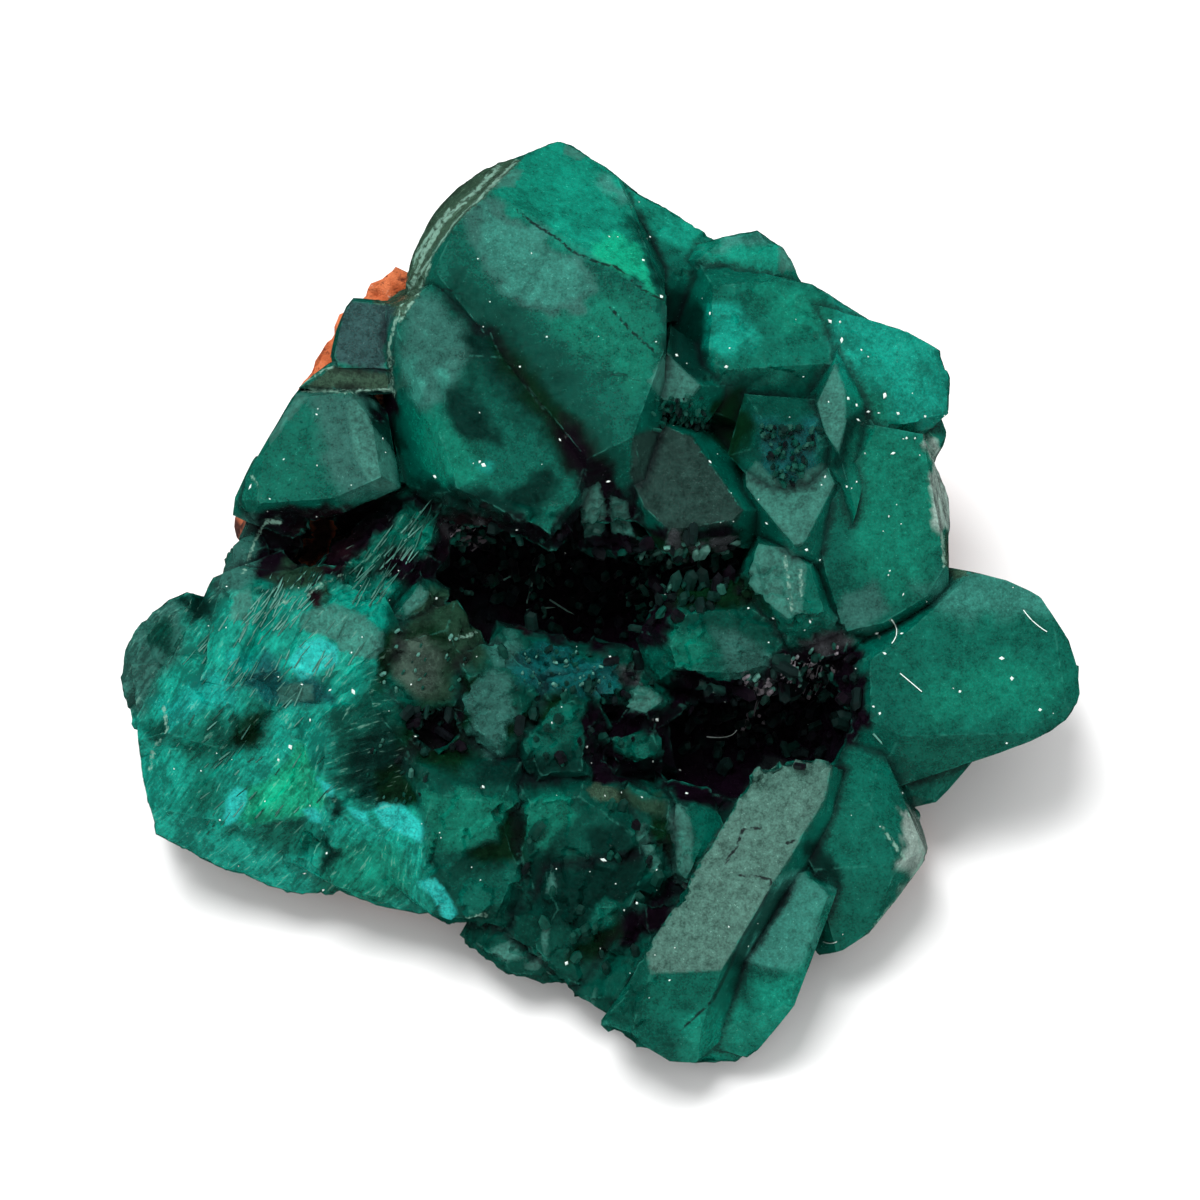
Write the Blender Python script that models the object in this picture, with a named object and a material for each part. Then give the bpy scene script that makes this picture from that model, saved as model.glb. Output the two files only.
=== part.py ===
"""A dioptase crystal cluster on its matrix, resting on the flat underside of the rock.

Sizes are in millimetres until a mesh is finished, and then in metres. Each crystal is laid out
as it is seen from the front: x runs to the right, v up the face of the specimen and w towards
the viewer. The specimen leans back by LEAN on its flat rest face, so that front frame is turned
into the upright one at the end.
"""

import itertools
import math
from dataclasses import dataclass, field

import bmesh
import bpy
import numpy as np
from mathutils import Matrix, Vector, noise

MM = 0.001
MERGE = 0.03
FLATNESS = 0.000001
WELDS = (0.004, 0.006, 0.002, 0.008, 0.001, 0.0)
BOOLEAN_TRIES = 8
HAIR = (0.003, -0.002, 0.004)
VIEW_DISTANCE = 150.0
LEAN = 60.0
CENTRE_HEIGHT = 9.1
FLOOR_CLEARANCE = 0.6
FLOOR_STEP = 0.5
ROCK_GAP = 0.35
CRYSTAL_THICKNESS = 4.5
CRYSTAL_SPREAD = 1.3
RIM_REACH = 3.0
RIM_NUDGE = 0.06
RIM_DEPTH = -3.0
BACK_BEVEL = 42.0
BACK_REACH = 8.5
WALL_DRAFT = 2.2

CRUST_FRONT = -3.9
CRUST_BACK = -10.0
CRUST_SLOPE = -0.06

ROCK_FRONT = -5.0
ROCK_SLOPE = -0.1
ROCK_LEFT = -12.2
ROCK_RIGHT = 10.0
ROCK_NEAR = -8.2
ROCK_FAR = 14.0
ROCK_EDGE = 2.3
ROCK_ROUGHNESS = 0.45

VUG_WALL = 1.3


@dataclass
class Crystal:
    """One crystal: its front face, the folds at the face's edges and its outer rim.

    face holds the corners (x, v, fold),
    clockwise from the left. The edge that starts at a corner folds back by that
    angle, in degrees,
    and 0 makes it a wall along the line of sight. more holds facets that fold from those: the
    number of the edge they start from,
    the two ends of their line and their fold. spread is how far the sides run
    out past the face.
    """

    name: str
    at: tuple
    depth: float
    slope: tuple
    face: list
    more: list = field(default_factory=list)
    spread: float = CRYSTAL_SPREAD
    thickness: float = CRYSTAL_THICKNESS


OUTLINE = [
    (-1.05, 13.9), (-0.5, 13.6), (0.2, 13.05), (0.9, 12.65), (1.4, 12.1), (2.0, 11.95), (2.5, 11.5),
    (3.0, 11.3),
    (3.6, 10.9), (4.8, 11.17), (5.15, 11.08), (5.5, 10.65), (5.95, 9.8), (6.4, 9.52), (6.75, 9.45),
    (7.55, 9.1),
    (8.1, 8.7), (9.0, 8.17), (9.6, 8.0), (10.25, 7.45), (10.45, 7.0), (10.45, 6.65), (10.7, 5.85),
    (10.3, 5.45),
    (10.47, 5.0), (10.35, 4.6), (10.25, 4.4), (10.5, 3.2), (10.7, 2.2), (11.05, 1.6), (11.3, 1.0),
    (11.55, 0.78),
    (12.2, 0.62), (12.9, 0.3), (13.5, 0.0), (13.85, -0.4), (14.1, -1.2), (14.3, -1.5), (14.42, -2.8),
    (14.3, -3.2),
    (14.0, -3.6), (13.5, -3.97), (12.9, -4.25), (12.0, -4.6), (11.2, -4.87), (10.5, -5.7), (10.1, -6.1),
    (9.67, -6.2), (9.9, -7.4), (9.7, -8.0), (9.0, -8.85), (8.25, -9.87), (7.3, -10.5), (6.5, -10.75),
    (6.2, -11.0),
    (5.75, -12.2), (5.3, -12.75), (4.8, -13.4), (4.2, -13.85), (3.8, -13.9), (3.0, -13.83), (2.2, -13.83),
    (1.6, -13.5), (1.0, -13.2), (0.3, -12.6), (-0.6, -12.03), (-1.2, -11.65), (-1.8, -11.33), (-2.8, -11.1),
    (-3.3, -10.8), (-3.8, -10.42), (-4.6, -10.17), (-5.4, -9.8), (-6.3, -9.5), (-7.05, -9.13), (-7.8, -9.0),
    (-9.0, -8.95), (-10.0, -8.75), (-11.0, -8.32), (-12.0, -7.75), (-13.0, -7.32), (-13.55, -6.75),
    (-13.7, -5.3),
    (-14.1, -3.6), (-14.4, -2.2), (-14.3, -1.5), (-14.0, -0.9), (-13.5, -0.3), (-13.0, 0.1),
    (-12.4, 0.35), (-11.7, 0.15), (-11.0, 1.8), (-10.7, 2.35), (-11.1, 2.5), (-11.0, 3.1), (-10.6, 3.95),
    (-10.5, 4.6), (-10.0, 5.2), (-9.55, 5.95), (-9.1, 6.33), (-8.6, 7.2), (-7.9, 8.2), (-7.65, 8.8),
    (-7.45, 9.05),
    (-7.3, 9.6), (-7.0, 9.77), (-6.3, 9.85), (-5.7, 10.05), (-5.4, 10.8), (-5.0, 11.65), (-4.3, 12.35),
    (-3.5, 12.95),
]

CRYSTALS = [
    Crystal("upper", (-0.5, 8.5), -0.8, (0.04, -0.28),
            [(-5.0, 9.9, 56), (-4.3, 11.3, 56), (-3.3, 12.3, 38), (1.95, 9.1, 0), (1.9, 7.4, 70),
             (1.0, 4.9, 60), (-0.4, 4.2, 62)],
            [(2, (-3.3, 12.3), (-2.4, 13.2), 52), (2, (0.53, 12.75), (1.95, 9.2), 42),
             (0, (-6.05, 8.6), (-5.75, 10.05), 0)], 6.0, 10.0),
    Crystal("upper_shoulder", (2.2, 10.9), -4.0, (-0.45, -0.7),
            [(1.0, 11.2, 40), (1.0, 12.5, 0), (2.5, 11.5, 0), (3.65, 10.85, 40), (3.0, 9.7, 50),
             (2.0, 9.6, 50)]),
    Crystal("small_top", (4.3, 10.2), -3.4, (0.0, -0.5),
            [(3.0, 10.2, 40), (3.6, 10.8, 30), (4.8, 11.1, 30), (5.35, 10.65, 48), (5.35, 9.8, 60),
             (4.0, 9.2, 60)],
            [], 1.8),
    Crystal("rough_block", (5.1, 8.3), -1.9, (-0.06, -0.42),
            [(3.25, 7.3, 62), (3.4, 9.4, 35), (5.8, 9.65, 24), (7.0, 9.1, 30), (6.9, 7.1, 48),
             (3.7, 6.9, 52)],
            [(5, (3.6, 5.6), (6.5, 5.5), 50)], 2.2),
    Crystal("dark_block", (3.8, 5.6), -2.6, (0.25, 0.12),
            [(2.7, 5.2, 50), (3.1, 6.9, 50), (4.6, 6.9, 50), (4.9, 5.3, 50), (4.2, 4.2, 60), (3.3, 4.3, 60)]),
    Crystal("dark_block_low", (4.1, 4.9), -3.1, (-0.1, 0.2),
            [(3.2, 4.6, 50), (3.6, 5.9, 50), (4.9, 5.8, 50), (5.1, 4.4, 50), (4.3, 3.7, 60)]),
    Crystal("small_cube", (2.1, 6.6), -0.9, (0.12, -0.1),
            [(1.45, 6.6, 62), (2.0, 7.4, 55), (3.0, 6.45, 55), (2.6, 5.9, 70), (1.9, 6.0, 70)], [], 0.8, 3.0),
    Crystal("corner_block", (8.9, 6.8), -1.7, (-0.12, -0.2),
            [(8.3, 5.1, 50), (7.3, 6.6, 34), (7.1, 8.75, 24), (10.0, 7.45, 34), (10.55, 5.9, 50),
             (10.25, 5.5, 70)],
            [], 3.0, 5.5),
    Crystal("corner_chip", (10.1, 4.9), -2.4, (-0.35, 0.1),
            [(9.75, 4.8, 50), (9.9, 5.35, 50), (10.25, 5.35, 40), (10.4, 4.9, 40),
             (10.05, 4.45, 50)], [], 0.5, 2.5),
    Crystal("pale_spear", (7.0, 5.6), -0.7, (0.1, -0.3),
            [(6.5, 5.9, 60), (7.05, 7.1, 55), (7.35, 6.3, 50), (7.4, 5.4, 46), (7.15, 4.45, 60),
             (6.75, 5.0, 65)],
            [], 0.9, 3.4),
    Crystal("round_druse", (5.7, 4.6), -0.5, (0.0, 0.02),
            [(4.75, 4.6, 45), (4.95, 5.3, 42), (6.4, 5.2, 42), (6.7, 4.6, 45), (6.15, 3.9, 42),
             (5.4, 3.85, 42)],
            [], 0.8, 3.0),
    Crystal("middle_shield", (5.8, 3.0), -0.8, (0.1, -0.3),
            [(4.35, 3.4, 78), (4.35, 3.8, 70), (4.7, 4.25, 60), (6.75, 4.15, 62), (7.05, 3.5, 62),
             (6.1, 1.65, 75),
             (5.8, 1.65, 75)], [], 1.0),
    Crystal("middle_pair", (5.4, 0.6), -0.8, (0.1, -0.3),
            [(4.4, 0.5, 75), (4.75, 1.7, 60), (5.6, 1.55, 60), (6.2, 1.1, 14), (6.05, -0.45, 75),
             (5.65, -0.55, 75)],
            [(3, (6.3, 1.15), (6.75, -0.3), 62)], 1.2),
    Crystal("right_tall", (8.5, 2.2), -1.1, (-0.05, 0.14),
            [(6.5, 2.2, 58), (8.3, 5.15, 0), (9.7, 4.9, 68), (10.2, 2.0, 46), (10.35, 1.0, 58),
             (9.8, 0.1, 58),
             (8.5, -0.7, 60), (7.3, -0.95, 62), (6.75, 0.9, 62)], [], 1.6, 6.0),
    Crystal("right", (11.0, -2.0), -1.6, (-0.12, -0.09),
            [(8.1, -3.6, 60), (8.1, -1.8, 62), (9.3, -0.9, 15), (13.6, -0.5, 32), (14.0, -3.2, 34),
             (12.7, -4.0, 46), (9.0, -4.1, 44)], [], 2.4, 5.5),
    Crystal("right_step", (9.8, -5.1), -2.6, (-0.2, 0.25),
            [(8.9, -5.0, 60), (9.2, -4.2, 45), (10.8, -4.7, 45), (10.85, -5.1, 40), (10.0, -6.0, 50),
             (9.3, -5.9, 60)], [], 1.0),
    Crystal("lower_right", (7.5, -7.1), -0.6, (-0.06, -0.08),
            [(6.1, -7.5, 70), (6.5, -6.2, 26), (8.1, -6.15, 36), (8.95, -7.95, 28), (6.4, -8.1, 75)],
            [(1, (8.3, -3.9), (8.7, -5.2), 40), (1, (6.6, -5.6), (7.6, -4.0), 60), (1, (7.6, -3.95),
                                                                                    (8.3, -3.8), 60),
             (2, (9.25, -6.3), (9.72, -7.45), 42), (3, (8.95, -7.9), (8.2, -9.85), 44)], 4.0, 5.5),
    Crystal("long_bar", (4.2, -8.0), 0.7, (0.1, -0.3),
            [(1.4, -10.6, 82), (4.85, -4.8, 80), (6.95, -4.95, 78), (6.75, -6.0, 76), (3.65, -11.1, 30),
             (1.55, -11.2, 40)],
            [(4, (3.4, -12.6), (2.2, -13.2), 26)], 3.0),
    Crystal("second_bar", (5.4, -9.8), 0.2, (0.1, -0.3),
            [(4.1, -10.7, 70), (5.3, -8.35, 62), (6.15, -8.15, 60), (6.85, -8.85, 62), (6.1, -10.9, 60),
             (5.9, -11.2, 30)],
            [(5, (4.2, -12.7), (5.6, -12.2), 26)], 2.8),
    Crystal("lower_tip", (3.0, -12.3), -0.3, (0.0, 0.34),
            [(0.9, -12.0, 40), (1.6, -11.0, 30), (4.6, -11.0, 30), (5.0, -12.3, 40), (4.0, -13.4, 30),
             (2.0, -13.4, 34)], [], 1.8, 3.5),
    Crystal("green_ledge", (-0.6, -7.6), -0.9, (0.02, 0.12),
            [(-2.4, -7.6, 50), (-2.1, -6.1, 45), (-0.6, -5.9, 45), (1.2, -7.2, 50), (1.3, -8.9, 50),
             (-0.6, -9.4, 42),
             (-1.9, -9.0, 45)]),
    Crystal("olive_ledge", (0.9, -6.2), -1.3, (0.15, -0.3),
            [(-0.4, -5.6, 60), (-0.1, -5.35, 65), (2.1, -6.0, 40), (2.0, -7.0, 40),
             (1.0, -6.6, 50)], [], 0.8),
    Crystal("olive_edge", (2.55, -7.3), -0.9, (0.3, -0.1),
            [(2.15, -7.3, 50), (2.3, -6.1, 60), (2.6, -6.2, 50), (3.05, -7.4, 60), (2.5, -8.6, 60)], [], 0.8),
    Crystal("lower_green", (-0.4, -10.4), -0.8, (0.06, 0.3),
            [(-2.0, -10.4, 40), (-1.3, -9.3, 35), (0.9, -9.2, 40), (1.6, -10.8, 40), (0.6, -12.0, 30),
             (-0.9, -11.4, 34)], [], 1.8),
    Crystal("grey_foot", (-2.9, -10.4), -1.5, (0.1, -0.1),
            [(-3.6, -10.4, 45), (-3.3, -9.8, 45), (-2.3, -10.0, 45), (-1.8, -10.9, 35), (-2.8, -10.95, 35)],
            [], 0.7, 3.0),
    Crystal("lower_middle", (-4.0, -7.6), -0.7, (-0.08, 0.12),
            [(-5.4, -7.5, 30), (-5.0, -5.8, 35), (-3.0, -6.1, 42), (-2.5, -7.9, 42), (-3.0, -9.4, 36),
             (-4.8, -9.2, 34)], [], 2.0),
    Crystal("left_block", (-3.2, -3.3), -0.7, (0.1, 0.12),
            [(-4.0, -3.6, 55), (-3.95, -2.3, 50), (-3.3, -2.1, 50), (-2.35, -2.9, 52), (-2.35, -3.9, 52),
             (-3.1, -4.4, 50)], [], 0.7),
    Crystal("right_block", (-1.3, -4.2), -0.8, (0.08, 0.1),
            [(-2.25, -4.3, 52), (-1.5, -3.15, 50), (-0.75, -3.0, 55), (-0.4, -3.9, 60), (-0.55, -5.1, 55),
             (-1.8, -5.3, 50)], [], 0.7),
    Crystal("brown_crust", (-5.3, -2.2), -1.2, (0.06, -0.05),
            [(-6.6, -2.6, 40), (-6.0, -1.2, 42), (-4.6, -0.9, 50), (-3.9, -2.0, 50), (-4.4, -3.3, 60),
             (-5.7, -3.4, 50)], [], 0.8),
    Crystal("brown_face", (2.4, 3.6), -0.9, (0.08, -0.22),
            [(0.9, 3.7, 68), (1.0, 4.9, 50), (1.95, 5.25, 60), (2.75, 4.9, 62), (4.3, 2.7, 78),
             (4.0, 2.4, 78),
             (2.05, 2.05, 72), (1.3, 2.8, 70)], [], 0.9),
    Crystal("left_lobe", (-3.0, 5.6), -0.2, (0.05, -0.12),
            [(-4.7, 4.6, 18), (-4.6, 7.4, 20), (-2.9, 7.3, 60), (-0.45, 4.1, 66), (-0.7, 3.1, 78),
             (-1.5, 2.0, 72),
             (-4.3, 3.35, 60)],
            [(0, (-6.1, 8.3), (-6.25, 6.2), 46), (0, (-6.25, 6.2), (-5.8, 4.75), 46), (0, (-5.0, 3.85),
                                                                                       (-5.9, 4.7), 60),
             (1, (-5.2, 9.4), (-6.0, 8.9), 55), (1, (-3.3, 8.6), (-5.1, 9.5), 55), (0, (-6.5, 6.2),
                                                                                    (-6.4, 8.9), 0)],
            2.6, 5.0),
    Crystal("roof", (-8.2, 4.6), -1.3, (0.1, -0.24),
            [(-10.1, 4.4, 46), (-9.0, 6.1, 60), (-7.0, 6.28, 62), (-6.85, 5.4, 62), (-6.15, 4.5, 70),
             (-6.0, 3.2, 78),
             (-8.0, 3.05, 74), (-9.6, 2.35, 60), (-10.3, 3.0, 40)], [], 0.5),
    Crystal("roof_foot", (-10.4, 3.1), -2.3, (0.3, -0.1),
            [(-10.9, 3.0, 40), (-10.6, 3.7, 45), (-10.1, 3.2, 50), (-9.6, 2.4, 50),
             (-10.6, 2.5, 50)], [], 0.7, 3.0),
    Crystal("slate_block", (-7.2, 8.0), -2.1, (0.1, -0.3),
            [(-8.0, 7.3, 68), (-7.7, 8.6, 60), (-7.45, 8.98, 50), (-6.2, 8.88, 60), (-6.4, 7.05, 28),
             (-7.9, 7.1, 66)], [], 0.1, 3.4),
    Crystal("slate_foot", (-7.4, 6.7), -2.0, (0.06, 0.12),
            [(-8.8, 6.45, 50), (-8.0, 7.05, 50), (-6.4, 6.95, 60), (-6.3, 6.3, 50),
             (-7.5, 6.25, 50)], [], 0.12, 3.4),
    Crystal("slab", (-11.1, 1.1), -3.0, (0.5, -0.05),
            [(-11.5, 0.3, 40), (-10.9, 1.9, 50), (-10.6, 1.4, 60), (-10.9, 0.2, 60)], [], 0.7, 3.4),
    Crystal("left_upper_mass", (-10.0, -2.0), -1.5, (-0.02, -0.08),
            [(-13.0, -3.2, 28), (-12.4, -0.9, 26), (-10.5, 0.1, 36), (-8.3, -0.1, 40), (-6.7, -1.2, 40),
             (-6.9, -2.4, 34), (-9.5, -4.0, 24)], [], 2.4, 5.5),
    Crystal("left_rim", (-13.3, -1.6), -2.5, (-0.2, -0.12),
            [(-14.0, -2.6, 35), (-13.8, -1.3, 35), (-13.2, -0.5, 35), (-12.3, -0.1, 40), (-12.0, -1.0, 40),
             (-12.8, -3.0, 40)], [], 1.2, 4.0),
    Crystal("left_splinter_1", (-12.3, -1.6), -1.7, (-0.15, -0.1),
            [(-13.2, -2.5, 40), (-12.0, -0.2, 40), (-11.6, -0.3, 40), (-12.7, -3.0, 45)], [], 0.8, 3.5),
    Crystal("left_splinter_2", (-11.0, -1.2), -1.2, (-0.1, -0.1),
            [(-11.9, -2.4, 35), (-10.7, 0.2, 35), (-10.2, 0.1, 40), (-11.2, -2.6, 45)], [], 0.8, 3.5),
    Crystal("left_splinter_3", (-9.6, -0.9), -1.2, (0.12, -0.16),
            [(-10.5, -2.2, 35), (-9.3, 0.1, 35), (-8.7, 0.2, 45), (-9.6, -2.1, 45)], [], 0.8, 3.5),
    Crystal("left_splinter_4", (-8.4, -0.9), -1.0, (0.05, -0.2),
            [(-9.4, -2.0, 40), (-8.6, -0.1, 35), (-7.0, -0.6, 40), (-6.6, -1.4, 50), (-7.3, -1.9, 45),
             (-8.4, -2.3, 45)], [], 0.8, 3.5),
    Crystal("left_splinter_5", (-11.6, -3.3), -1.0, (-0.08, 0.02),
            [(-13.0, -4.0, 35), (-12.3, -2.6, 30), (-10.4, -2.6, 35), (-10.0, -3.3, 40), (-11.4, -4.5, 45)],
            [], 0.9, 3.5),
    Crystal("left_window", (-10.8, -5.7), -1.3, (0.03, 0.07),
            [(-13.2, -6.3, 30), (-12.9, -4.5, 24), (-9.9, -4.3, 20), (-8.4, -5.2, 24), (-8.3, -6.4, 30),
             (-10.9, -6.75, 34)], [], 2.6, 5.0),
    Crystal("left_flakes", (-6.9, -5.2), -0.9, (0.02, 0.04),
            [(-8.3, -5.6, 30), (-8.2, -4.1, 24), (-6.8, -3.3, 34), (-5.8, -4.3, 40), (-5.3, -6.6, 26),
             (-6.6, -6.9, 24), (-8.0, -6.4, 26)], [], 1.5),
    Crystal("left_foot", (-6.9, -7.7), -1.3, (0.02, 0.26),
            [(-8.4, -7.8, 30), (-8.2, -6.5, 24), (-5.5, -7.2, 28), (-5.0, -8.6, 26), (-5.8, -9.2, 30),
             (-8.0, -8.6, 32)], [], 2.0),
]

VUG_CRYSTALS = [
    Crystal("speckled_crust", (-1.3, -2.2), -1.7, (0.02, -0.15),
            [(-3.0, -2.2, 50), (-2.7, -1.3, 50), (-1.0, -1.7, 50), (0.35, -2.0, 60), (0.4, -2.8, 60),
             (-1.0, -2.9, 45)], [], 0.6),
    Crystal("inner_step", (1.0, -4.4), -1.9, (0.0, 0.1),
            [(0.25, -4.6, 60), (0.4, -4.1, 60), (1.6, -4.0, 60), (1.75, -4.8, 60),
             (0.6, -5.0, 60)], [], 0.5, 3.5),
    Crystal("pale_tooth", (1.2, -3.0), -1.7, (0.1, -0.3),
            [(0.8, -3.2, 65), (0.8, -2.6, 65), (1.15, -2.45, 65), (1.85, -3.0, 65), (1.4, -3.4, 65)],
            [], 0.6, 3.5),
    Crystal("round_green", (3.6, -1.0), -1.5, (0.03, 0.12),
            [(2.1, -1.3, 45), (2.6, -0.4, 45), (4.5, -0.2, 45), (5.4, -0.9, 45), (5.2, -2.0, 55),
             (3.9, -2.2, 55),
             (2.3, -2.0, 50)], [], 0.9),
    Crystal("grey_rim", (6.6, -1.3), -1.9, (0.05, 0.05),
            [(5.3, -1.4, 60), (5.6, -0.7, 50), (7.6, -0.9, 50), (7.3, -1.6, 70), (6.2, -1.9, 70)], [], 0.6),
    Crystal("twin_left", (-0.2, 2.7), -2.2, (0.1, -0.3),
            [(-0.55, 2.7, 65), (-0.45, 3.3, 60), (0.0, 3.5, 60), (0.15, 2.6, 65), (0.05, 1.9, 70),
             (-0.4, 1.95, 70)],
            [], 0.5, 5.8),
    Crystal("twin_right", (0.65, 2.5), -2.2, (0.1, -0.3),
            [(0.4, 1.95, 65), (0.33, 3.1, 60), (0.8, 2.95, 60), (1.0, 1.95, 70)], [], 0.5, 5.8),
    Crystal("slab_dark", (-10.2, 1.9), -3.3, (0.3, 0.2),
            [(-10.6, 1.3, 50), (-10.6, 2.3, 50), (-9.5, 2.3, 50), (-9.6, 1.5, 60)], [], 0.6, 3.0),
    Crystal("fibrous_ridge", (-6.6, 1.1), -2.4, (0.02, -0.1),
            [(-8.4, -0.3, 40), (-7.4, 1.3, 50), (-5.6, 2.8, 45), (-4.9, 2.4, 50), (-5.2, 1.4, 50),
             (-6.9, -0.6, 40)],
            [], 0.7, 3.4),
    Crystal("lilac_sliver", (-5.7, -0.1), -1.9, (0.1, -0.3),
            [(-6.2, -0.5, 55), (-5.4, 0.5, 55), (-5.1, 0.2, 55), (-5.3, -0.3, 55), (-5.9, -0.6, 55)],
            [], 0.5, 3.2),
]

CRUST_OUTLINE = [(-12.4, -4.6), (-12.6, -1.8), (-9.9, 3.2), (-5.6, 8.6), (-0.8, 11.3), (3.0, 9.4), (9.0, 6.6),
                 (9.8, 2.0), (12.6, -1.6), (12.2, -3.2), (8.0, -8.6), (5.0, -12.0), (1.0, -12.0),
                 (-5.0, -8.8),
                 (-11.5, -6.6)]

VUGS = [((-1.2, 0.8, -4.2), (4.6, 2.9, 3.6), 0.0), ((4.4, -3.9, -3.2), (3.6, 2.4, 3.4), 0.0),
        ((-7.8, 1.7, -3.5), (2.0, 1.05, 2.1), 12.0), ((-5.0, -4.0, -2.6), (0.9, 0.65, 2.2), 20.0)]

ROCK_RIM = [((-9.15, 6.3), (-8.0, 8.15)), ((-8.0, 8.15), (-7.25, 9.65)), ((-7.25, 9.68), (-5.6, 10.05)),
            ((-10.3, 4.4), (-11.2, 1.2)), ((-12.2, -6.4), (-7.0, -8.0)), ((-7.0, -8.0), (-1.0, -10.2)),
            ((9.2, -5.0), (9.4, -8.0)), ((9.0, -8.2), (5.6, -10.8))]

TO_WORLD = Matrix.Translation((0, 0, CENTRE_HEIGHT)) @ Matrix.Rotation(math.radians(90 - LEAN), 4, "X")


def on_plane(point, origin, normal):
    """The spot of a plane that is seen at the front point (x, v)."""
    eye = Vector((0, 0, VIEW_DISTANCE))
    ray = Vector((point[0], point[1], 0)) - eye
    return eye + ray * ((origin - eye).dot(normal) / ray.dot(normal))


def folded(plane, start, end, angle, centre):
    """The plane that folds back from another one along the line seen from start to end."""
    origin, normal = plane
    a, b = on_plane(start, origin, normal), on_plane(end, origin, normal)
    outward = (b - a).cross(normal).normalized()
    if outward.dot(centre - a) > 0:
        outward.negate()
    turn = math.radians(angle)
    return a, (normal * math.cos(turn) + outward * math.sin(turn)).normalized()


def wall(start, end, centre, draft=WALL_DRAFT, depth=RIM_DEPTH):
    """The plane along the line of sight through two front points, leaning inward as it runs back."""
    eye = Vector((0, 0, VIEW_DISTANCE))
    run = 1 - depth / VIEW_DISTANCE
    a, b = (eye + (Vector((spot[0], spot[1], 0)) - eye) * run for spot in (start, end))
    outward = (b - a).cross(a - eye).normalized()
    if outward.dot(centre - a) > 0:
        outward.negate()
    return a, (outward - Vector((0, 0, 1)) * math.tan(math.radians(draft))).normalized()


def backed(planes, centre, thickness, bevel=BACK_BEVEL):
    """The same planes with a back face and a bevel round the back."""
    back = centre.z - thickness
    closed = list(planes) + [(Vector((0, 0, back)), Vector((0, 0, -1)))]
    turn = math.radians(bevel)
    for origin, normal in planes[1:]:
        flat = Vector((normal.x, normal.y, 0))
        if flat.length < 0.5:
            continue
        flat.normalize()
        reach = (origin - centre).dot(normal) / max(flat.dot(normal), 0.3)
        spot = centre + flat * min(reach, BACK_REACH) + Vector((0, 0, 0.6 - thickness))
        closed.append((spot, flat * math.cos(turn) - Vector((0, 0, 1)) * math.sin(turn)))
    return closed


def share(crystal):
    """A fixed fraction of its own for each crystal, so that no two have a wall in one plane."""
    return ((CRYSTALS + VUG_CRYSTALS).index(crystal) * 0.618) % 1.0


def limits(crystal, centre):
    """The walls that keep a crystal near its face and inside the outline of the whole specimen."""
    walls = []
    draft = WALL_DRAFT * (0.6 + 0.8 * share(crystal))
    corners = [Vector(corner[:2]) for corner in crystal.face]
    for start, end in zip(corners, corners[1:] + corners[:1]):
        outward = Vector((start.y - end.y, end.x - start.x)).normalized() * crystal.spread
        walls.append(wall(start + outward, end + outward, centre, draft))
    corners += [Vector(end) for fold in crystal.more for end in fold[1:3]]
    for start, end in zip(OUTLINE, OUTLINE[1:] + OUTLINE[:1]):
        start, along = Vector(start), Vector(end) - Vector(start)
        near = min((corner - start - along * 0.5).length for corner in corners) < RIM_REACH
        if near and all((corner - start).cross(along) > -0.06 for corner in corners):
            inward = Vector((along.y, -along.x)).normalized() * RIM_NUDGE * share(crystal)
            walls.append(wall(start + inward, start + along + inward, centre, draft))
    return walls


def floor_plane(height):
    """The level plane at a height above the floor, in the front frame, facing down."""
    to_front = TO_WORLD.inverted()
    return to_front @ Vector((0, 0, height)), to_front.to_3x3() @ Vector((0, 0, -1))


def crystal_planes(crystal):
    """Every plane of a crystal, its front face first."""
    normal = Vector((-crystal.slope[0], -crystal.slope[1], 1)).normalized()
    origin = on_plane(crystal.at, Vector((crystal.at[0], crystal.at[1], crystal.depth)), normal)
    centre = origin - normal
    planes = [(origin, normal)]
    count = len(crystal.face)
    for index, (x, v, fold) in enumerate(crystal.face):
        after = crystal.face[(index + 1) % count]
        if fold:
            planes.append(folded(planes[0], (x, v), after, fold, centre))
        else:
            planes.append(wall((x, v), after, centre))
    for edge, start, end, fold in crystal.more:
        planes.append(folded(planes[edge + 1], start, end, fold, centre) if fold else wall(start, end,
                                                                                           centre))
    planes += limits(crystal, centre)
    return backed(planes, origin,
                  crystal.thickness) + [floor_plane(FLOOR_CLEARANCE + FLOOR_STEP * share(crystal))]


def corners_of(planes):
    """The corners of the convex space behind all the planes, those closer than MERGE made one."""
    normals = np.array([normal[:] for _, normal in planes])
    offsets = np.array([origin.dot(normal) for origin, normal in planes])
    trios = np.array(list(itertools.combinations(range(len(planes)), 3)))
    sides = normals[trios]
    firm = np.abs(np.linalg.det(sides)) > 1e-4
    spots = np.linalg.solve(sides[firm], offsets[trios[firm]][:, :, None])[:, :, 0]
    spots = spots[(spots @ normals.T <= offsets + 1e-6).all(axis=1)]
    kept = []
    for spot in spots:
        if all(np.linalg.norm(spot - other) > MERGE for other in kept):
            kept.append(spot)
    return np.array(kept)


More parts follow.
